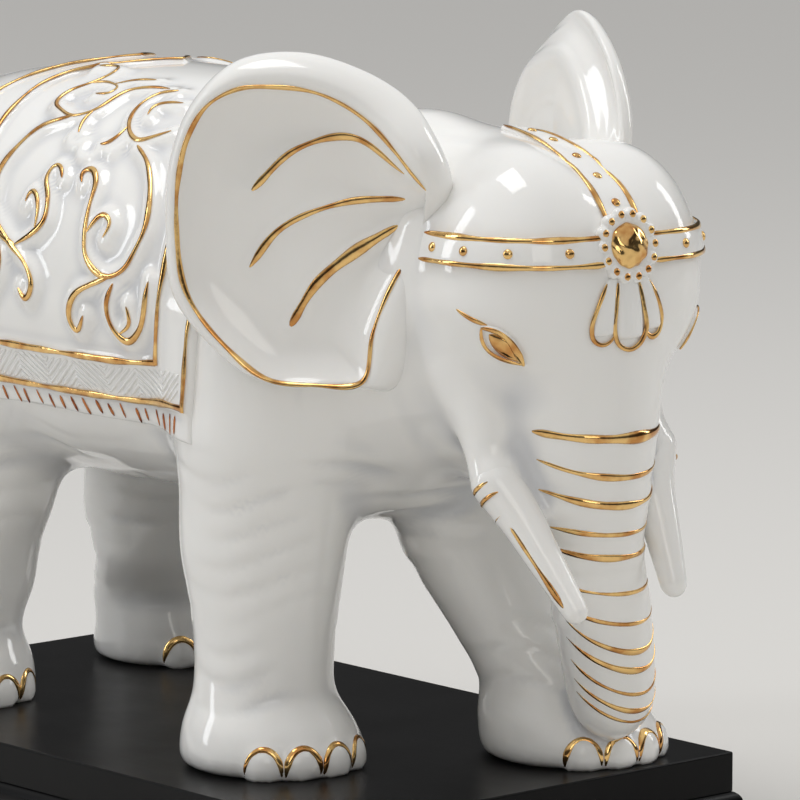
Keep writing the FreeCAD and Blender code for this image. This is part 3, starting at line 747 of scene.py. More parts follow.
def skinFolds(points):
    # shallow level folds round the legs, the chest and the upper trunk
    x, y, z = points[:, 0], points[:, 1], points[:, 2] - boardTop
    wander = 2.8 * np.sin(x / 13 + y / 19) + 2.0 * np.sin(y / 8 - x / 21 + 2) + 1.0 * np.sin(x / 6 + 1)
    away = (np.mod((z + wander) / castShape["foldPitch"], 1) - 0.5) * castShape["foldPitch"]
    crease = -1 / np.cosh(away / castShape["foldWidth"]) + 0.35 * np.exp(-((away - 3) / 2.2)**2)
    patch = smoothStep(-0.35, 0.5, np.sin(x / 14 + 2.1 * np.sin(z / 19)) * np.sin(y / 12 + z / 23))
    onLegs = smoothStep(18, 30, z) * (1 - smoothStep(112, 130, z))
    return castShape["foldDepth"] * crease * onLegs * patch


castPoints, castFaces, castEdges = makeCasting()
print("casting meshed:", len(castFaces), "faces")


def paintedShadeOf(points, faces, edges):
    # how far each point lies in a hollow, for the painted shade there
    normals = normalsOf(points, faces)
    bend = np.einsum("ij,ij->i", neighbourMean(points, edges) - points, normals)[:, None]
    for turn in range(4):
        bend = neighbourMean(bend, edges)
    return np.clip(bend[:, 0] / 0.06, 0, 1)


def givePaintedShade(piece, values):
    # the painted shade's attribute, which its material reads
    layer = piece.data.attributes.new("paintedShade", "FLOAT", "POINT")
    layer.data.foreach_set("value", values.astype(np.float32))


casting = makePiece("porcelainCasting", castPoints, castFaces, porcelain, "glazed_porcelain", "torso_shell",
                    "head_shell", "trunk", "leg_front_right", "leg_front_left", "leg_rear_right", "leg_rear_left",
                    "tail", "toenails_front_right", "toenails_front_left", "toenails_rear_right",
                    "toenails_rear_left")
# painted shade: greys the casting's concave creases and hollows
givePaintedShade(casting, paintedShadeOf(castPoints, castFaces, castEdges))
castTree = BVHTree.FromPolygons(castPoints.tolist(), castFaces.tolist())

makeEar("right")
makeEar("left")
print("ears made")


# paths and dots laid on the glaze by Geometry Nodes

def newTree(name, sizes):
    tree = bpy.data.node_groups.new(name, "GeometryNodeTree")
    tree.interface.new_socket("Geometry", in_out="INPUT", socket_type="NodeSocketGeometry")
    for label, value in sizes.items():
        kind = "NodeSocketInt" if isinstance(value, int) else "NodeSocketFloat"
        tree.interface.new_socket(label, in_out="INPUT", socket_type=kind).default_value = value
    tree.interface.new_socket("Material", in_out="INPUT", socket_type="NodeSocketMaterial")
    tree.interface.new_socket("Geometry", in_out="OUTPUT", socket_type="NodeSocketGeometry")
    return tree, addNode(tree, "NodeGroupInput")


def closeTree(tree, given, shape):
    whole = addNode(tree, "GeometryNodeRealizeInstances", links={"Geometry": shape})
    smooth = addNode(tree, "GeometryNodeSetShadeSmooth", links={"Geometry": whole.outputs[0]})
    painted = addNode(tree, "GeometryNodeSetMaterial", links={"Geometry": smooth.outputs[0],
                                                              "Material": given.outputs["Material"]})
    addNode(tree, "NodeGroupOutput", links={"Geometry": painted.outputs[0]})
    return tree


def namedValue(tree, name, kind):
    return addNode(tree, "GeometryNodeInputNamedAttribute", {"data_type": kind, "Name": name}).outputs["Attribute"]


def pathTree():
    # sweeps a flattened round section along each path, its flat side held to the surface
    tree, given = newTree("layAlongPath", {"Wide": 1.0, "High": 0.42, "Square": 1.0, "Sides": 10})
    line = addNode(tree, "GeometryNodeMeshToCurve", links={"Mesh": given.outputs["Geometry"]})
    held = addNode(tree, "GeometryNodeSetCurveNormal", {"mode": "FREE"},
                   {"Curve": line.outputs[0], "Normal": namedValue(tree, "lift", "FLOAT_VECTOR")})
    ring = addNode(tree, "GeometryNodeCurvePrimitiveCircle", links={"Resolution": given.outputs["Sides"]})
    place = addNode(tree, "GeometryNodeInputPosition")
    split = addNode(tree, "ShaderNodeSeparateXYZ", links={"Vector": place.outputs[0]})
    sizes = []
    for axis, size in (("X", "High"), ("Y", "Wide")):
        power = sumOf(tree, "POWER", sumOf(tree, "ABSOLUTE", split.outputs[axis]), given.outputs["Square"])
        signed = sumOf(tree, "MULTIPLY", power, sumOf(tree, "SIGN", split.outputs[axis]))
        sizes.append(sumOf(tree, "MULTIPLY", signed, given.outputs[size]))
    moved = addNode(tree, "ShaderNodeCombineXYZ", links={"X": sizes[0], "Y": sizes[1]})
    section = addNode(tree, "GeometryNodeSetPosition",
                      links={"Geometry": ring.outputs[0], "Position": moved.outputs[0]})
    swept = addNode(tree, "GeometryNodeCurveToMesh", {"Fill Caps": True},
                    {"Curve": held.outputs[0], "Profile Curve": section.outputs[0],
                     "Scale": namedValue(tree, "halfWidth", "FLOAT")})
    return closeTree(tree, given, swept.outputs[0])


def dotTree():
    # sets a small flattened dome on each point, standing on the surface
    tree, given = newTree("layDots", {"Flat": 0.55, "Segments": 14, "Rings": 8})
    dome = addNode(tree, "GeometryNodeMeshUVSphere", {"Radius": 1.0},
                   {"Segments": given.outputs["Segments"], "Rings": given.outputs["Rings"]})
    squash = addNode(tree, "ShaderNodeCombineXYZ", {"X": 1.0, "Y": 1.0}, {"Z": given.outputs["Flat"]})
    flat = addNode(tree, "GeometryNodeTransform", links={"Geometry": dome.outputs[0], "Scale": squash.outputs[0]})
    stand = addNode(tree, "FunctionNodeAlignRotationToVector", {"axis": "Z"},
                    {"Vector": namedValue(tree, "lift", "FLOAT_VECTOR")})
    spread = addNode(tree, "GeometryNodeInstanceOnPoints",
                     links={"Points": given.outputs["Geometry"], "Instance": flat.outputs[0],
                            "Rotation": stand.outputs[0], "Scale": namedValue(tree, "halfWidth", "FLOAT")})
    return closeTree(tree, given, spread.outputs[0])


layPaths, layDots = pathTree(), dotTree()


def layOn(name, tree, runs, material, sizes, slot, *nodes):
    # runs: (points in mm, lifts, half widths in mm)
    points = np.vstack([run[0] for run in runs]) * mm
    lifts = np.vstack([run[1] for run in runs])
    wide = np.concatenate([run[2] for run in runs]) * mm
    edges, start = [], 0
    for run in runs:
        if tree is layPaths:
            edges += [(start + i, start + i + 1) for i in range(len(run[0]) - 1)]
        start += len(run[0])
    mesh = bpy.data.meshes.new(name + "Guide")
    mesh.from_pydata(points.tolist(), edges, [])
    mesh.attributes.new("lift", "FLOAT_VECTOR", "POINT").data.foreach_set("vector", lifts.astype(np.float32).ravel())
    mesh.attributes.new("halfWidth", "FLOAT", "POINT").data.foreach_set("value", wide.astype(np.float32))
    guide = addObject(name + "Guide", mesh)
    modifier = guide.modifiers.new("lay", "NODES")
    modifier.node_group = tree
    for item in tree.interface.items_tree:
        if item.in_out == "INPUT" and item.name in sizes:
            modifier[item.identifier] = sizes[item.name]
        if item.in_out == "INPUT" and item.name == "Material":
            modifier[item.identifier] = material
    shown = guide.evaluated_get(bpy.context.evaluated_depsgraph_get())
    solid = bpy.data.meshes.new_from_object(shown)
    solid.name = name
    bpy.data.objects.remove(guide)
    handOver(addObject(name, solid), slot, *nodes)


brush = {"waver": 0.3, "tip": 0.25}


def brushed(points, lifts, wide, ends=(True, True), taper=5.0, swell=0.0):
    # one hand-painted stroke: width wavers along it and thins at its ends
    points, lifts = np.asarray(points, float), np.asarray(lifts, float)
    along = lengthAlong(points)
    phase = rng.uniform(0, 6.28, 3)
    width = wide * (1 + brush["waver"] * (0.6 * np.sin(along / 7 + phase[0]) + 0.4 * np.sin(along / 3.1 + phase[1])))
    for on, far in zip(ends, (along, along[-1] - along)):
        if on:
            width = width * (brush["tip"] + (1 - brush["tip"]) * np.clip(far / taper, 0, 1)**0.6)
    width = width * (1 - swell + swell * np.sin(math.pi * along / along[-1]))
    lifts = lifts / (np.linalg.norm(lifts, axis=1)[:, None] + 1e-9)
    return points, lifts, width


def eased(values, rounds=2):
    # evens out a row of points along its length, ends kept
    values = np.array(values, float)
    for turn in range(rounds):
        values[1:-1] = 0.25 * values[:-2] + 0.5 * values[1:-1] + 0.25 * values[2:]
    return values


def dropOn(starts, ways, reach):
    # where rays meet the casting: points and normals, with the misses left out
    hits = [hit for hit in (touch(start, way, reach) for start, way in zip(starts, ways)) if hit[0] is not None]
    return eased([place for place, normal in hits]), eased([normal for place, normal in hits], 4)


def touch(start, way, reach):
    # where one ray meets the casting, and the skin's normal there
    place, normal, index, far = castTree.ray_cast(Vector(start), Vector(way), reach)
    return (None, None) if place is None else (np.array(place), np.array(normal))


goldRuns, goldDots = [], []


def paint(spots, wide, evenPlaces=0, evenNormals=0):
    # one gold stroke through pairs of place and normal
    places, normals = zip(*spots)
    goldRuns.append(brushed(eased(places, evenPlaces), eased(normals, evenNormals), wide))


def earStroke(side, curve, wide):
    u, v = curve[:, 0], curve[:, 1]
    height = earHeight(side, u, v)[0]
    slopeU = (earHeight(side, u + 0.5, v)[0] - earHeight(side, u - 0.5, v)[0])[:, None]
    slopeV = (earHeight(side, u, v + 0.5)[0] - earHeight(side, u, v - 0.5)[0])[:, None]
    plane = earPlanes[side]
    lifts = plane["normal"] - plane["outward"] * slopeU - headUp * slopeV
    points = np.array([earPoint(side, *spot) for spot in zip(u, v, height)])
    goldRuns.append(brushed(eased(points, 1), eased(lifts, 3), wide))


for side in ("right", "left"):
    earStroke(side, earRim[side], 1.0)
    for curve, wide in earVeins:
        earStroke(side, curve, 1.25 * wide)


# saddle cloth: one relief sheet over the back, with its fringe

clothShape = {
    "thickness": 3.0, "fringeThickness": 1.9, "fringe": 11.0, "step": 1.25,
    "edgeRound": 1.8, "sink": 1.2, "under": 1.4,
    "front": [(0, 45), (12, 49), (28, 55), (50, 61), (90, 67), (170, 69)],     # length along the back at each depth
    "rear": [(0, -62), (10, -68), (24, -85), (41, -97), (80, -103), (170, -104)],
    "innerFront": [(0, 29), (14, 33), (30, 39), (55, 44), (85, 47.5), (118, 48), (150, 44)],
    "innerRear": [(0, -34), (14, -48), (27, -67), (50, -74), (69, -72), (110, -77), (150, -82)],
    "borderHeight": 0.7, "borderWidth": 2.4, "panelDrop": 0.7, "bandWidth": 17.5,
    "scrollHeight": 2.3, "scrollWidth": 3.7, "scrollCrest": 1.6, "bulbWidth": 4.0, "lineLift": 0.18,
    "chevronPeriod": 33.0, "chevronHeight": 13.0, "chevronPitch": 2.9, "chevronWide": 0.82,
    # edges, distance in from them and up from the hem, lengths where they meet the hem, half widths
    "borders": [(("front", "rear"), 2.0, 2.2, 60, -98, 1.15, 1.35),
                (("innerFront", "innerRear"), 0, 17.5, 44, -80, 1.05, 1.3)],
}
# scroll work, from the ridge down: (length, depth) points, then half width of its gold line
scrolls = [
    ([(-4, 82), (-7, 79), (-3, 76), (3, 80), (5, 89), (7, 99), (10, 107), (20, 112), (31, 106), (34, 99), (36, 90),
      (34, 82), (23, 68), (13, 63)], 1.0),
    ([(17, 99), (19, 93), (13, 91), (10, 95), (8, 99)], 0.8),
    ([(-16, 82), (-18, 79), (-23, 77), (-25, 82), (-19, 90), (-17, 99), (-22, 104), (-31, 109)], 1.0),
    ([(-31, 93), (-30, 88), (-26, 90), (-22, 96), (-21, 103)], 0.8),
    ([(-31, 109), (-41, 106), (-50, 98), (-53, 89), (-54, 80), (-51, 72), (-46, 63), (-33, 56)], 1.0),
    ([(-48, 100), (-32, 110), (-23, 115), (-18, 122), (-22, 128), (-26, 124)], 1.1),
    ([(-48, 101), (-42, 108), (-38, 115), (-40, 122), (-44, 126)], 0.9),
    ([(23, 112), (15, 116), (5, 123), (3, 130), (7, 135), (11, 128)], 1.1),
    ([(26, 113), (23, 121), (26, 129), (32, 132), (39, 126), (43, 107)], 1.1),
    ([(33, 119), (35, 124), (29, 130)], 0.9),
    ([(-55, 23), (-43, 23), (-40, 30), (-43, 37), (-49, 43), (-50, 49), (-41, 54), (-33, 56), (-24, 52), (-18, 38),
      (-9, 34), (0, 33)], 0.75),
    ([(-43, 37), (-36, 35), (-30, 36), (-26, 37), (-25, 41), (-33, 43)], 0.6),
    ([(-30, 36), (-22, 31), (-13, 29)], 0.6),
    ([(-22, 63), (-25, 57), (-24, 52)], 0.7),
    ([(5, 33), (-2, 37), (-4, 43), (-3, 50), (5, 59), (11, 61), (18, 57), (23, 53)], 0.8),
    ([(5, 49), (3, 44), (7, 41), (15, 39)], 0.6),
    ([(1, 56), (0, 61), (-4, 66), (-6, 66)], 0.8),
]
fringe = {"pitch": 6.9, "jitter": 0.8, "top": (1.2, 2.6), "foot": (7.4, 9.8), "slant": (-1.2, 0.3), "tickHalf": 0.66}
palmette = [(-25, 60), (-26, 65), (-21, 68), (-17, 66), (-15, 71), (-8, 72), (-4, 67), (1, 68), (4, 63)]


sheetShape = {"rear": -108, "front": 72, "depth": 172, "spacing": 2.0, "middle": 166, "turn": 132}


def bodySheet():
    # the back and flanks as rows of points, evenly spaced along each row from the ridge outwards
    spacing, reach, turn = (sheetShape[key] for key in ("spacing", "depth", "turn"))
    lengths = np.arange(sheetShape["rear"], sheetShape["front"] + 0.1, spacing)
    middle = boardTop + sheetShape["middle"]
    turns = np.radians(np.arange(-turn, turn + 0.1, 1.5))
    rows = []
    depth = np.arange(-reach, reach + 0.1, spacing)
    for length in lengths:
        row = eased([touch((length, 0, middle), (0, math.sin(turn), math.cos(turn)), 200)[0] for turn in turns], 6)
        along = lengthAlong(row)
        along -= np.interp(0, turns, along)
        rows.append(np.stack([np.interp(depth, along, row[:, column]) for column in range(3)], axis=1))
    sheet = np.array(rows)
    for turn in range(8):
        sheet[1:-1] = 0.25 * sheet[:-2] + 0.5 * sheet[1:-1] + 0.25 * sheet[2:]
    return lengths, depth, sheet


sheetLengths, sheetDepths, sheet = bodySheet()


def onSheet(length, depth):
    # place and outward normal on the body under the cloth; depth is signed, positive on the left flank
    def look(length, depth):
        column = np.clip((length - sheetLengths[0]) / sheetShape["spacing"], 0, len(sheetLengths) - 1.001)
        row = np.clip((depth - sheetDepths[0]) / sheetShape["spacing"], 0, len(sheetDepths) - 1.001)
        i, j = column.astype(int), row.astype(int)
        s, t = (column - i)[..., None], (row - j)[..., None]
        return (sheet[i, j] * (1 - s) * (1 - t) + sheet[i + 1, j] * s * (1 - t)
                + sheet[i, j + 1] * (1 - s) * t + sheet[i + 1, j + 1] * s * t)
    length, depth = np.asarray(length, float), np.asarray(depth, float)
    place = look(length, depth)
    along = look(length + 2, depth) - look(length - 2, depth)
    down = look(length, depth + 2) - look(length, depth - 2)
    normal = np.cross(along, down)
    return place, normal / (np.linalg.norm(normal, axis=-1)[..., None] + 1e-9)


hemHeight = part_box("saddle_cloth")[0][2] / mm


def hemDepth(length, side):
    # how far round the body the hem lies at each length
    depth = sheetDepths[sheetDepths * side >= 20]
    result = []
    for spot in np.atleast_1d(length):
        place = onSheet(np.full(len(depth), spot), depth)[0][:, 2]
        order = np.argsort(place)
        result.append(abs(np.interp(hemHeight, place[order], depth[order])))
    return np.array(result)


hemLengths = np.arange(sheetShape["rear"], sheetShape["front"] + 0.1, 4.0)
hems = {side: hemDepth(hemLengths, side) for side in (-1, 1)}


def hemAt(length, side):
    return np.interp(length, hemLengths, hems[side])


def edgeOf(name, depth):
    return through(*zip(*clothShape[name]), np.abs(depth))


scrollCurves = [eased(curveThrough(points, 1.0), 5) for points, wide in scrolls]
palmetteCurve = curveThrough(palmette, 1.5)


def clothRelief(length, depth):
    # height of the cloth over the body at each point
    shape = clothShape
    side = np.where(depth < 0, -1, 1)
    down = np.abs(depth)
    hem = np.where(side < 0, hemAt(length, -1), hemAt(length, 1))
    toHem = hem - down
    height = shape["fringeThickness"] + (shape["thickness"] - shape["fringeThickness"]) * smoothStep(-0.8, 0.8, toHem)
    toFront, toRear = edgeOf("front", down) - length, length - edgeOf("rear", down)
    outerEdge = np.minimum(np.minimum(toFront, toRear), np.where(toHem > -2, toHem, 99))
    borderWidth = shape["borderWidth"]
    height = height + shape["borderHeight"] * np.exp(-((outerEdge - 2.0) / borderWidth * 1.4)**2) * (toHem > -2)
    inner = np.minimum(edgeOf("innerFront", down) - length, length - edgeOf("innerRear", down))
    inner = np.minimum(inner, toHem - shape["bandWidth"])
    height = height - shape["panelDrop"] * smoothStep(0.5, 3.0, inner)
    height = height + shape["borderHeight"] * np.exp(-(inner / borderWidth * 1.2)**2)
    relief = np.zeros(np.shape(length))
    for curve in scrollCurves:
        far = distanceTo(curve, length, down)
        ridge = 0.85 / (1 + (far / shape["scrollWidth"])**5) + 0.15 * np.exp(-(far / shape["scrollCrest"])**2)
        for end in (curve[0], curve[-1]):
            bulb = 0.95 / (1 + (np.hypot(length - end[0], down - end[1]) / shape["bulbWidth"])**5)
            ridge = np.maximum(ridge, bulb)
        relief = np.maximum(relief, ridge)
    far = distanceTo(palmetteCurve, length, down)
    relief = np.maximum(relief, 0.9 * np.exp(-(far / 3.2)**2))
    return height + shape["scrollHeight"] * relief * smoothStep(-1, 2, inner)


def clothPoint(length, depth, extra=0.0):
    place, normal = onSheet(length, depth)
    return place + normal * (clothRelief(length, depth) + extra)[..., None], normal


def makeCloth():
    shape = clothShape
    step = shape["step"]
    # rows across the body from one fringe's lower edge to the other's, closer together at the edges
    close = np.array([0, 0.0015, 0.004, 0.008])
    shares = np.concatenate([close, np.arange(0.012, 0.988, step / 172), 1 - close[::-1]])
    counts = int((hems[-1].max() + shape["fringe"]) / step)
    rows = np.concatenate([close, np.linspace(0.012, 1, counts)])
    rows = np.concatenate([-1 + rows, (1 - rows[::-1])[1:]])
    depthGrid = np.zeros((len(rows), len(shares)))
    lengthGrid = np.zeros_like(depthGrid)
    for index, row in enumerate(rows):
        side = -1 if row < 0 else 1
        guess = abs(row) * (hems[side].mean() + shape["fringe"])
        rear, front = edgeOf("rear", np.array([guess]))[0], edgeOf("front", np.array([guess]))[0]
        length = rear + (front - rear) * shares
        lengthGrid[index] = length
        depthGrid[index] = row * (hemAt(length, side) + shape["fringe"])
    top = clothRelief(lengthGrid, depthGrid)
    place, normal = onSheet(lengthGrid, depthGrid)
    # rounded edges: the cloth's height falls to the body over its last two millimetres
    near = np.minimum(np.minimum(lengthGrid - lengthGrid[:, :1], lengthGrid[:, -1:] - lengthGrid),
                      np.minimum(1 - np.abs(rows[:, None]), 1) * 158)
    near = np.clip(near / shape["edgeRound"], 0, 1)
    top = (top + shape["sink"]) * np.sqrt(1 - (1 - near)**2) - shape["sink"]
    outer = place + normal * top[..., None]
    inner = place - normal * shape["under"]
    high, wide = depthGrid.shape
    points = np.concatenate([outer.reshape(-1, 3), inner.reshape(-1, 3)])
    index = np.arange(high * wide).reshape(high, wide)
    a, b, c, d = index[:-1, :-1].ravel(), index[:-1, 1:].ravel(), index[1:, 1:].ravel(), index[1:, :-1].ravel()
    upper = np.stack([a, b, c, d], axis=1)
    lower = np.stack([d, c, b, a], axis=1) + high * wide
    rim = np.concatenate([index[0, :], index[1:, -1], index[-1, -2::-1], index[-2:0:-1, 0]])
    nextRim = np.roll(rim, -1)
    wall = np.stack([nextRim, rim, rim + high * wide, nextRim + high * wide], axis=1)
    faces = np.concatenate([upper, lower, wall])
    middle = high // 2 * wide + wide // 2
    facing = np.cross(points[middle + 1] - points[middle], points[middle + wide] - points[middle])
    if facing @ normal.reshape(-1, 3)[middle] < 0:
        faces = faces[:, ::-1]
    piece = makePiece("saddleCloth", points, faces, porcelain, "glazed_porcelain", "saddle_cloth", "fringe_right",
                      "fringe_left")
    edges = edgesOf(upper)
    # painted shade: greys the hollows on the cloth's top face
    paintedShade = np.zeros(len(points))
    paintedShade[:high * wide] = paintedShadeOf(points[:high * wide], faces[:len(upper)], edges)
    givePaintedShade(piece, paintedShade)
    print("saddle cloth made:", len(faces) * 2, "triangles")


makeCloth()
clothGold, chevrons, fringeTicks = [], [], []


def clothStroke(group, points, side, wide, spacing=1.2, ends=(True, True), taper=5.0):
    curve = eased(curveThrough(points, spacing), 2)
    places, normals = clothPoint(curve[:, 0], curve[:, 1] * side, clothShape["lineLift"])
    group.append(brushed(places, eased(normals, 2), wide, ends, taper))


def borderPoints(name, end):
    depth = np.linspace(0, end, 16)
    return np.stack([edgeOf(name, depth), depth], axis=1)


for side in (-1, 1):
    for curve, (points, wide) in zip(scrollCurves, scrolls):
        clothStroke(clothGold, curve, side, wide * 1.08)
    for name, inset, lift, frontAt, rearAt, sideWide, hemWide in clothShape["borders"]:
        front = borderPoints(name[0], hemAt(frontAt, side) - lift) - [inset, 0]
        rear = borderPoints(name[1], hemAt(rearAt, side) - lift) + [inset, 0]
        lengths = np.linspace(rear[-1, 0], front[-1, 0], 40)
        hemLine = np.stack([lengths, hemAt(lengths, side) - lift], axis=1)
        for line, wide in ((front, sideWide), (rear, sideWide), (hemLine, hemWide)):
            clothStroke(clothGold, line, side, wide, ends=(False, False))
    # chevrons between the two borders
    band, period, high = (clothShape[key] for key in ("bandWidth", "chevronPeriod", "chevronHeight"))
    lengths = np.linspace(-100, 62, 324)
    zigzag = high * np.abs(2 * np.mod(lengths / period, 1) - 1)
    for offset in np.arange(-high, band, clothShape["chevronPitch"]):
        up = zigzag + offset
        inside = (up > 3.6) & (up < band - 2.4)
        for run in np.split(np.arange(len(up)), np.flatnonzero(np.diff(inside)) + 1):
            if inside[run[0]] and len(run) > 5:
                places, normals = clothPoint(lengths[run], (hemAt(lengths[run], side) - up[run]) * side)
                chevrons.append(brushed(places, normals, clothShape["chevronWide"], taper=2.0))
    for length in np.arange(-100, 62, fringe["pitch"]):
        length = length + rng.uniform(-fringe["jitter"], fringe["jitter"])
        top, foot, slant = (rng.uniform(*fringe[key]) for key in ("top", "foot", "slant"))
        hem = hemAt(length, side)
        clothStroke(fringeTicks, [(length, hem + top), (length + slant / 2, hem + (top + foot) / 2),
                                  (length + slant, hem + foot)], side, fringe["tickHalf"], 0.8, taper=1.6)

strokeSection = {"Wide": 1.0, "High": 0.42, "Square": 1.0, "Sides": 8}
layOn("clothGold", layPaths, clothGold, gold, strokeSection, "gold_lustre")
layOn("fringeTicks", layPaths, fringeTicks, thinGold, strokeSection, "gold_lustre")
layOn("chevronBand", layPaths, chevrons, porcelain, {**strokeSection, "High": 0.66, "Sides": 6}, "glazed_porcelain")
print("cloth gold and chevrons laid")


# small modelled forms, meshed on a fine grid of their own

def sculpt(name, low, high, step, makeForm, material, slot, *nodes, rounds=2):
    space = makeSpace(low, high, step)
    points, faces = meshField(space, makeForm(space))
    makePiece(name, relax(points, edgesOf(faces), rounds), faces, material, slot, *nodes)


def makeTusk(side):
    path = curveThrough(tuskStations(side), 1.2)
    low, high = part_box("tusk_" + side)
    tip = path[-1].copy()
    run = unit(path[-1, :3] - path[-6, :3])
    reach = (tip[2] - low[2] / mm - tip[3] * tuskShape[side]["short"]) / -run[2]
    for step in np.arange(1.2, max(reach, 1.3), 1.2):
        path = np.vstack([path, [*(tip[:3] + run * step), tip[3] - 0.5 * step / max(reach, 1)]])
    corner = path[:, :3].min(0) - 12, path[:, :3].max(0) + 12
    sculpt("tusk" + side.capitalize(), *corner, 0.8, lambda space: taperedRod(space, path),
           porcelain, "glazed_porcelain", "tusk_" + side, rounds=4)
    return path


tuskPaths = {side: makeTusk(side) for side in ("right", "left")}

# gold on the tusks: three ticks near the root and a long line down the outer side
tuskGold = {"ticks": (0.03, 0.13, 0.25), "tickTurns": (-44, 46), "tickHalf": 0.85, "line": (0.30, 0.98),
            "lineLean": (0.96, 0.13, 0.12), "lineHalf": 1.15, "out": 0.2}


def onTusk(spot, way):
    # on the tusk, or on the cheek where it still covers the tusk
    place = touch(spot[:3] + way * (spot[3] + 10), -way, 10)[0]
    return (spot[:3] + way * spot[3] if place is None else place) + way * tuskGold["out"]


for side, path in tuskPaths.items():
    outward = -headSide if side == "right" else headSide
    across = np.cross(unit(path[-1, :3] - path[0, :3]), outward)
    across *= np.sign(across @ headFront)
    way = sum(axis * share for axis, share in zip((outward, headFront, headUp), tuskGold["lineLean"]))
    first, last = (int(len(path) * share) for share in tuskGold["line"])
    paint([(onTusk(spot, way), way) for spot in path[first:last]], tuskGold["lineHalf"])
    for share in tuskGold["ticks"]:
        spot = path[int(len(path) * share)]
        arc = [outward * math.cos(turn) + across * math.sin(turn)
               for turn in np.radians(np.arange(*tuskGold["tickTurns"], 5))]
        paint([(onTusk(spot, way), way) for way in arc], tuskGold["tickHalf"], 1)


# trunk: gold rings painted across its front

trunkLines = {"halfTurn": 82, "swell": 0.45,
              # height over the board, how far the ends turn up, half width
              "lines": [(133.5, 2.0, 2.0), (119, 6.0, 1.25), (108.5, 5.5, 1.5), (97.5, 3.3, 1.1), (88.3, 3.6, 1.4),
                        (73.6, 4.2, 1.0), (61, 7.5, 0.95), (49.3, 14, 1.2), (41.6, 13, 1.3), (31.8, 13.5, 0.9),
                        (25, 12.5, 1.0), (20.5, 11.5, 0.9)]}
trunk = trunkPath()
trunk = trunk[np.argsort(trunk[:, 2])]
for height, rise, wide in trunkLines["lines"]:
    turns = np.arange(-trunkLines["halfTurn"], trunkLines["halfTurn"] - 8, 4.0)
    levels = boardTop + height + rise * (turns / 80)**2
    starts = np.stack([*(np.interp(levels, trunk[:, 2], trunk[:, column]) for column in range(2)), levels], axis=1)
    ways = [headFront * math.cos(turn) + headSide * math.sin(turn) for turn in np.radians(turns)]
    goldRuns.append(brushed(*dropOn(starts, ways, 32), wide, swell=trunkLines["swell"]))


# harness on the head

harness = {"axisBack": -25, "bandUp": 34.4, "bandHalf": 5.4, "bandHigh": 2.0, "bandEnd": 100, "strapHalf": 7.8,
           "strapHigh": 1.6, "strapEnd": 118, "edgeInset": 0.9, "dotTurns": (33, 57, 76, 93), "dotPitch": 13.5,
           "dotRadius": 1.8, "strapUp": 22, "strapStart": 20, "firstDot": 14, "bandLine": 1.15, "strapLine": 1.05}


def addDot(spot, normal, out, radius):
    spot, normal = np.reshape(spot, (1, 3)), np.reshape(normal, (1, 3))
    goldDots.append((spot + normal * out, normal, np.array([radius])))


def headFan(turns, up, toward):
    # where rays that fan out from straight ahead towards one side, or upwards, leave the head
    starts = [onHead(harness["axisBack"], 0, up)] * len(turns)
    ways = [headFront * math.cos(turn) + toward * math.sin(turn) for turn in np.radians(turns)]
    return dropOn(starts, ways, 90)


bandTurns = {"right": np.arange(-harness["bandEnd"], -12, 2.0), "left": np.arange(12, harness["bandEnd"], 2.0)}
bandRuns = []
for side, turns in bandTurns.items():
    points, normals = headFan(turns, harness["bandUp"], headSide)
    bandRuns.append((points, normals, np.ones(len(points))))
    for up in (harness["bandHalf"] - harness["edgeInset"], -harness["bandHalf"] + harness["edgeInset"]):
        edgePoints, edgeNormals = headFan(turns, harness["bandUp"] + up, headSide)
        goldRuns.append(brushed(edgePoints + edgeNormals * harness["bandHigh"] * 0.86, edgeNormals,
                                harness["bandLine"]))
    for turn in harness["dotTurns"]:
        spot, normal = headFan([turn if side == "left" else -turn], harness["bandUp"], headSide)
        addDot(spot, normal, harness["bandHigh"], harness["dotRadius"])
points, normals = headFan(np.arange(harness["strapStart"], harness["strapEnd"], 2.0), harness["strapUp"], headUp)
strapRuns = [(points, normals, np.ones(len(points)))]
for left in (-1, 1):
    tangent = np.gradient(points, axis=0)
    sideways = np.cross(normals, tangent)
    sideways /= np.linalg.norm(sideways, axis=1)[:, None]
    edgePoints = points + sideways * left * (harness["strapHalf"] - harness["edgeInset"])
    goldRuns.append(brushed(edgePoints + normals * harness["strapHigh"] * 0.9, normals, harness["strapLine"]))
along = lengthAlong(points)
for far in np.arange(harness["firstDot"], along[-1], harness["dotPitch"]):
    spot = int(np.searchsorted(along, far))
    addDot(points[spot], normals[spot], harness["strapHigh"], harness["dotRadius"])
for name, runs, key, node in (("browBand", bandRuns, "band", "headband"),
                              ("crownStrap", strapRuns, "strap", "crown_strap")):
    layOn(name, layPaths, runs, porcelain,
          {"Wide": harness[key + "Half"], "High": harness[key + "High"], "Square": 0.55, "Sides": 24},
          "glazed_porcelain", node)

rosette = {"radius": 12.4, "bumps": 14, "bumpCircle": 11.4, "bumpRadius": 2.6, "dotRadius": 1.6,
           "bossRadius": 8.3, "bossHeight": 4.8, "ringRadius": 0.9, "raise": 2.0, "shift": -0.8}


discMiddle, discNormal = cadMiddle("rosette_disc"), flatNormal("rosette_disc")[1]
above = discMiddle + headUp * rosette["raise"] + headSide * rosette["shift"] + discNormal * 40
discMiddle = touch(above, -discNormal, 80)[0] + discNormal * 0.9
discSide = unit(np.cross(headUp, discNormal))
discUp = np.cross(discNormal, discSide)


def onDisc(turn, radius, out=0.0):
    return discMiddle + (discSide * math.cos(turn) + discUp * math.sin(turn)) * radius + discNormal * out


discAxes = (discSide, discUp, discNormal)
beadTurns = np.arange(rosette["bumps"]) * 2 * math.pi / rosette["bumps"]


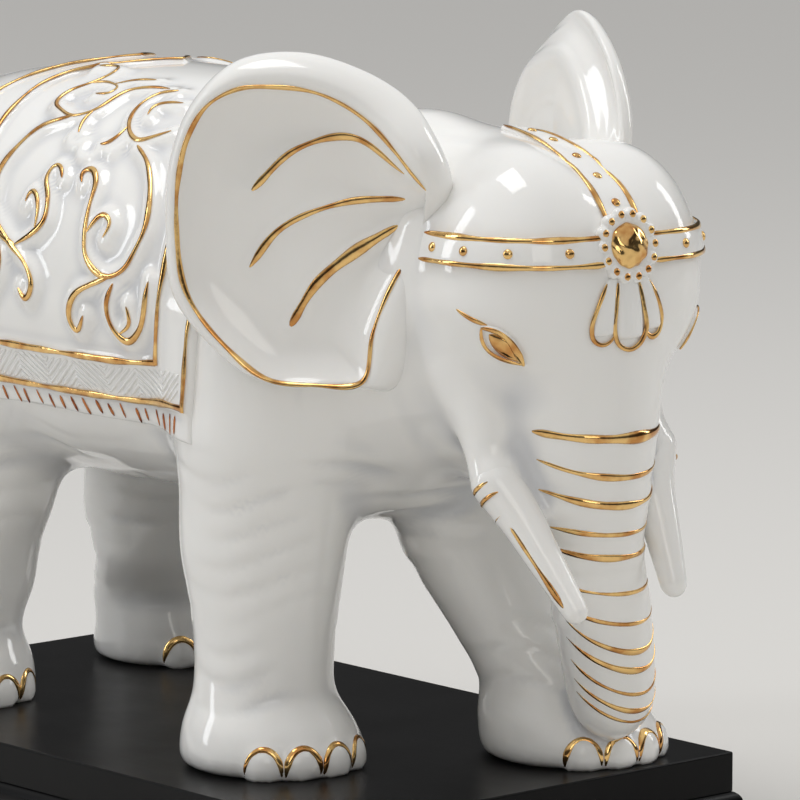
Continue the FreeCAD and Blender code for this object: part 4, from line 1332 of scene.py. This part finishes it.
def discForm(space):
    field = eggForm(space, discMiddle - discNormal * 1.0, (rosette["radius"], rosette["radius"], 3.4), discAxes)
    for turn in beadTurns:
        bump = eggForm(space, onDisc(turn, rosette["bumpCircle"], 0.4), (rosette["bumpRadius"],) * 3)
        field = softMin(field, bump, 1.2)
    ring = [onDisc(turn, rosette["bossRadius"] + 0.4, 1.2) for turn in np.linspace(0, 2 * math.pi, 60)]
    return softMin(field, rodForm(space, ring, [rosette["ringRadius"]] * len(ring)), 1.0)


def bossForm(space):
    dome = eggForm(space, discMiddle + discNormal * 1.0,
                   (rosette["bossRadius"], rosette["bossRadius"], rosette["bossHeight"]), discAxes)
    x, y, z = space["x"], space["y"], space["z"]
    hammered = np.sin(y * 1.05 + 0.8 * np.sin(z * 0.7)) * np.sin(z * 0.95 + x * 0.5 + 1.1 * np.sin(y * 0.55))
    return dome + 0.30 * hammered


sculpt("rosetteDisc", discMiddle - 19, discMiddle + 19, 0.5, discForm, porcelain, "glazed_porcelain", "rosette_disc")
sculpt("rosetteBoss", discMiddle - 12, discMiddle + 12, 0.45, bossForm, gold, "gold_lustre", "rosette_boss")
for turn in beadTurns:
    addDot(onDisc(turn, rosette["bumpCircle"]), discNormal, 2.2, rosette["dotRadius"])

# pendant: three petals side by side below the rosette, outlined in gold
pendant = {
    "high": 1.5, "lineHalf": 0.95, "lineOut": 0.8, "shrink": 0.96, "drop": 0.4, "shift": -0.8, "petalRadius": 0.38,
    # sideways and down from the middle of the rosette: gold outlines, then middle lines with half widths
    "outlines": [[(-9.6, 13), (-13.4, 21), (-15.6, 28), (-14.4, 33.4), (-11.2, 35.4), (-8.4, 34.4), (-6.6, 31.8)],
                 [(-4.8, 13), (-6.0, 22), (-6.6, 31.8), (-5.0, 35.8), (-0.6, 38), (3.8, 36.2), (6.7, 31.6), (5.9, 22),
                  (4.6, 13)],
                 [(6.7, 31.6), (9.2, 34), (12.6, 33.2), (15.0, 28.2), (12.8, 20), (9.4, 13)]],
    "petals": [[(-7.2, 12, 2.2), (-9.7, 21, 3.6), (-11.0, 30.5, 4.5)],
               [(0, 11.5, 4.4), (-0.1, 22, 5.8), (0, 32, 6.2)],
               [(7.0, 12, 2.2), (9.4, 20.5, 3.5), (10.8, 29.5, 4.3)]],
}


def underRosette(across, down):
    # on the brow below the rosette
    down, across = down * pendant["shrink"] + pendant["drop"], across + pendant["shift"]
    return touch(discMiddle - discUp * down + discSide * across + discNormal * 20, -discNormal, 60)


for outline in pendant["outlines"]:
    spots = [underRosette(*spot) for spot in curveThrough(outline, 1.0)]
    paint([(place + normal * pendant["lineOut"], normal) for place, normal in spots], pendant["lineHalf"], 2)


def petalForm(space):
    field = None
    for middleLine in pendant["petals"]:
        spots, radii = [], []
        for across, down, wide in curveThrough(middleLine, 0.6):
            for share in (-0.62, -0.3, 0, 0.3, 0.62):
                place, normal = underRosette(across + share * wide, down)
                radii.append(wide * pendant["petalRadius"])
                spots.append(place - normal * (radii[-1] - pendant["high"] * (1 - share**2 * 0.6)))
        petal = rodForm(space, spots, radii)
        field = petal if field is None else softMin(field, petal, 0.6)
    return field


corner = discMiddle - discUp * 23
sculpt("pendantPetals", corner - 21, corner + 21, 0.6, petalForm, porcelain, "glazed_porcelain", "pendant", rounds=3)


# eyes: gilded almonds under a painted brow

eyeShape = {"tilt": -56, "high": 1.9, "blunt": 0.38, "skew": 0.6,
            "ball": (9.8, 4.4, 3.6, 0.2),      # half length, height above and below the axis, shift along it
            "lids": (12.0, 5.4, 6.0, -1.4),
            "brow": [(-12.6, 1.6), (-15, -0.2), (-18.6, -3.0), (-25, -7.0)]}


def makeEye(side):
    middle = eyeRight if side == "right" else eyeLeft
    outward = -headSide if side == "right" else headSide
    facing = unit(outward * 0.85 + headFront * 0.53)
    centre, normal = touch(middle + facing * 25, -facing, 60)
    forward = unit(headFront - normal * (headFront @ normal))
    up = unit(headUp - normal * (headUp @ normal))
    tilt = math.radians(eyeShape["tilt"])
    long = forward * math.cos(tilt) + up * math.sin(tilt)
    short = np.cross(normal, long)
    short *= np.sign(short @ up)

    def onFace(along, across, out=0.0):
        place, faceNormal = touch(centre + long * along + short * across + normal * 14, -normal, 40)
        return place + faceNormal * out, faceNormal

    def edge(part, share, upper):
        halfLong, above, below, shift = eyeShape[part]
        # fuller towards its outer corner
        high = (above if upper else -below) * (1 - share**2) * (1 - eyeShape["blunt"] * share)
        return halfLong * share + shift, high + eyeShape["skew"] * share

    shares = np.linspace(-1, 1, 34)

    def ballForm(space):
        spots, radii = [], []
        for share in np.linspace(-0.93, 0.93, 44):
            along, top = edge("ball", share, True)
            bottom = edge("ball", share, False)[1]
            half = (top - bottom) / 2
            for across in (-0.55, -0.28, 0, 0.28, 0.55):
                radius = max(half * 0.45, 0.45)
                place, faceNormal = onFace(along, (top + bottom) / 2 + across * half)
                spots.append(place + faceNormal * (eyeShape["high"] * (1 - share**2) * (1 - across**2) - radius))
                radii.append(radius)
        return rodForm(space, spots, radii)

    def lidForm(space):
        field = None
        for upper, radius in ((True, 1.25), (False, 0.95)):
            spots = [onFace(*edge("lids", share, upper), 0.15)[0] for share in shares]
            rod = rodForm(space, spots, [radius * (1 - 0.4 * abs(share)**3) for share in shares])
            field = rod if field is None else softMin(field, rod, 0.5)
        return field

    name = side.capitalize()
    sculpt("eyeball" + name, centre - 13, centre + 13, 0.5, ballForm, gold, "gold_lustre", "eye_" + side, rounds=3)
    sculpt("eyelids" + name, centre - 16, centre + 16, 0.5, lidForm, porcelain, "glazed_porcelain", rounds=3)
    for upper, wide, out in ((True, 1.25, 1.35), (False, 0.8, 1.0)):      # gold on the lids, then the brow
        paint([onFace(*edge("lids", share, upper), out) for share in shares], wide, 2, 2)
    paint([onFace(*spot, 0.1) for spot in curveThrough(eyeShape["brow"], 1.2)], 0.95)


makeEye("right")
makeEye("left")

# toenails outlined in gold
for spot, outward in nailPlaces():
    sideways = np.cross(headUp, outward)
    wide, high = castShape["nailHalves"][1], castShape["nailHalves"][2] + 0.4
    starts = [spot + sideways * wide * math.cos(turn) + headUp * (high * math.sin(turn) - 0.5) + outward * 12
              for turn in np.radians(np.arange(-28, 209, 7))]
    starts = [start for start in starts if start[2] > boardTop + 1.2]
    goldRuns.append(brushed(*dropOn(starts, [-outward] * len(starts), 30), 1.25))

layOn("goldLines", layPaths, goldRuns, gold, strokeSection, "gold_lustre")
layOn("goldDots", layDots, goldDots, gold, {"Flat": 0.5, "Segments": 14, "Rings": 8}, "gold_lustre",
      "rosette_beads")
print("gold laid:", len(goldRuns), "strokes and", len(goldDots), "dots")

plinthFinish = {
    "top_board": lacquer, "base_board": lacquer, "rail_left": lacquer, "rail_right": lacquer, "rail_front": lacquer,
    "rail_rear": lacquer, "felt_base": felt, "corner_blocks": pine, "plinth_screws": zinc,
}
for node, finish in plinthFinish.items():
    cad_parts[node].data.materials.clear()
    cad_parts[node].data.materials.append(finish)

# camera, lights and stage

cameraPlace = {"azimuth": 49.06, "elevation": 8.79, "distance": 2315, "lens": 270, "aim": (25.8, 58.3, 120.8)}


def makeCamera():
    place = cameraPlace
    azimuth, elevation = math.radians(place["azimuth"]), math.radians(place["elevation"])
    away = Vector((math.sin(azimuth) * math.cos(elevation), -math.cos(azimuth) * math.cos(elevation),
                   math.sin(elevation)))
    data = bpy.data.cameras.new("camera")
    data.lens, data.sensor_width, data.clip_end = place["lens"], 36, 50
    camera = addObject("camera", data)
    camera.location = (Vector(place["aim"]) + Vector((0, 0, boardTop)) + away * place["distance"]) * mm
    camera.rotation_euler = away.to_track_quat("Z", "Y").to_euler()
    bpy.context.scene.camera = camera


lights = [
    # name, place, aim, size, power, colour
    ("overheadSoftbox", (-0.15, -0.45, 1.8), (0.02, 0, 0.2), (0.85, 0.6), 9, "#FFFFFF"),
    ("frontFill", (1.9, -1.2, 0.9), (0, 0, 0.12), (0.9, 0.8), 4.5, "#FFFBF4"),
    ("flankStrip", (-1.3, -1.6, 0.9), (0, 0, 0.15), (0.35, 1.3), 8, "#F8FBFF"),
    ("rearStrip", (0.7, 1.9, 1.1), (0.1, 0, 0.2), (0.35, 1.3), 8, "#FFFFFF"),
]


# grey of the studio round the figure, from straight below to overhead: pale, with a darker belt round the sides that
# the gold and the lacquer mirror
surround = [(0.0, 0.30), (0.03, 0.05), (0.34, 0.06), (0.55, 0.66), (1.0, 0.74)]


def makeLights():
    for name, place, aim, size, power, colour in lights:
        data = bpy.data.lights.new(name, "AREA")
        data.shape = "RECTANGLE"
        data.size, data.size_y = size
        data.energy = power
        data.color = hexColour(colour)[:3]
        light = addObject(name, data)
        light.location = place
        light.rotation_euler = (Vector(place) - Vector(aim)).to_track_quat("Z", "Y").to_euler()
    world = bpy.data.worlds.new("studio")
    bpy.context.scene.world = world
    world.use_nodes = True
    tree = world.node_tree
    tree.nodes.clear()
    place = addNode(tree, "ShaderNodeTexCoord")
    split = addNode(tree, "ShaderNodeSeparateXYZ", links={"Vector": place.outputs["Generated"]})
    grey = rampOf(tree, split.outputs["Z"], [(height, (value, value, value, 1.0)) for height, value in surround])
    sky = addNode(tree, "ShaderNodeBackground", {"Strength": 1.0}, {"Color": grey})
    addNode(tree, "ShaderNodeOutputWorld", links={"Surface": sky.outputs[0]})


def makeFloor(half=9.0):
    mesh = bpy.data.meshes.new("floor")
    mesh.from_pydata([(-half, -half, 0), (half, -half, 0), (half, half, 0), (-half, half, 0)], [], [(0, 1, 2, 3)])
    material = bpy.data.materials.new("paleFloor")
    material.use_nodes = True
    shader = material.node_tree.nodes["Principled BSDF"]
    shader.inputs["Base Color"].default_value = hexColour("#E4E2DE")
    shader.inputs["Roughness"].default_value = 0.6
    mesh.materials.append(material)
    addObject("floor", mesh)


bpy.context.scene.view_settings.view_transform = "Standard"   # plain studio colour, so the white glaze stays white
makeCamera()
makeLights()
makeFloor()
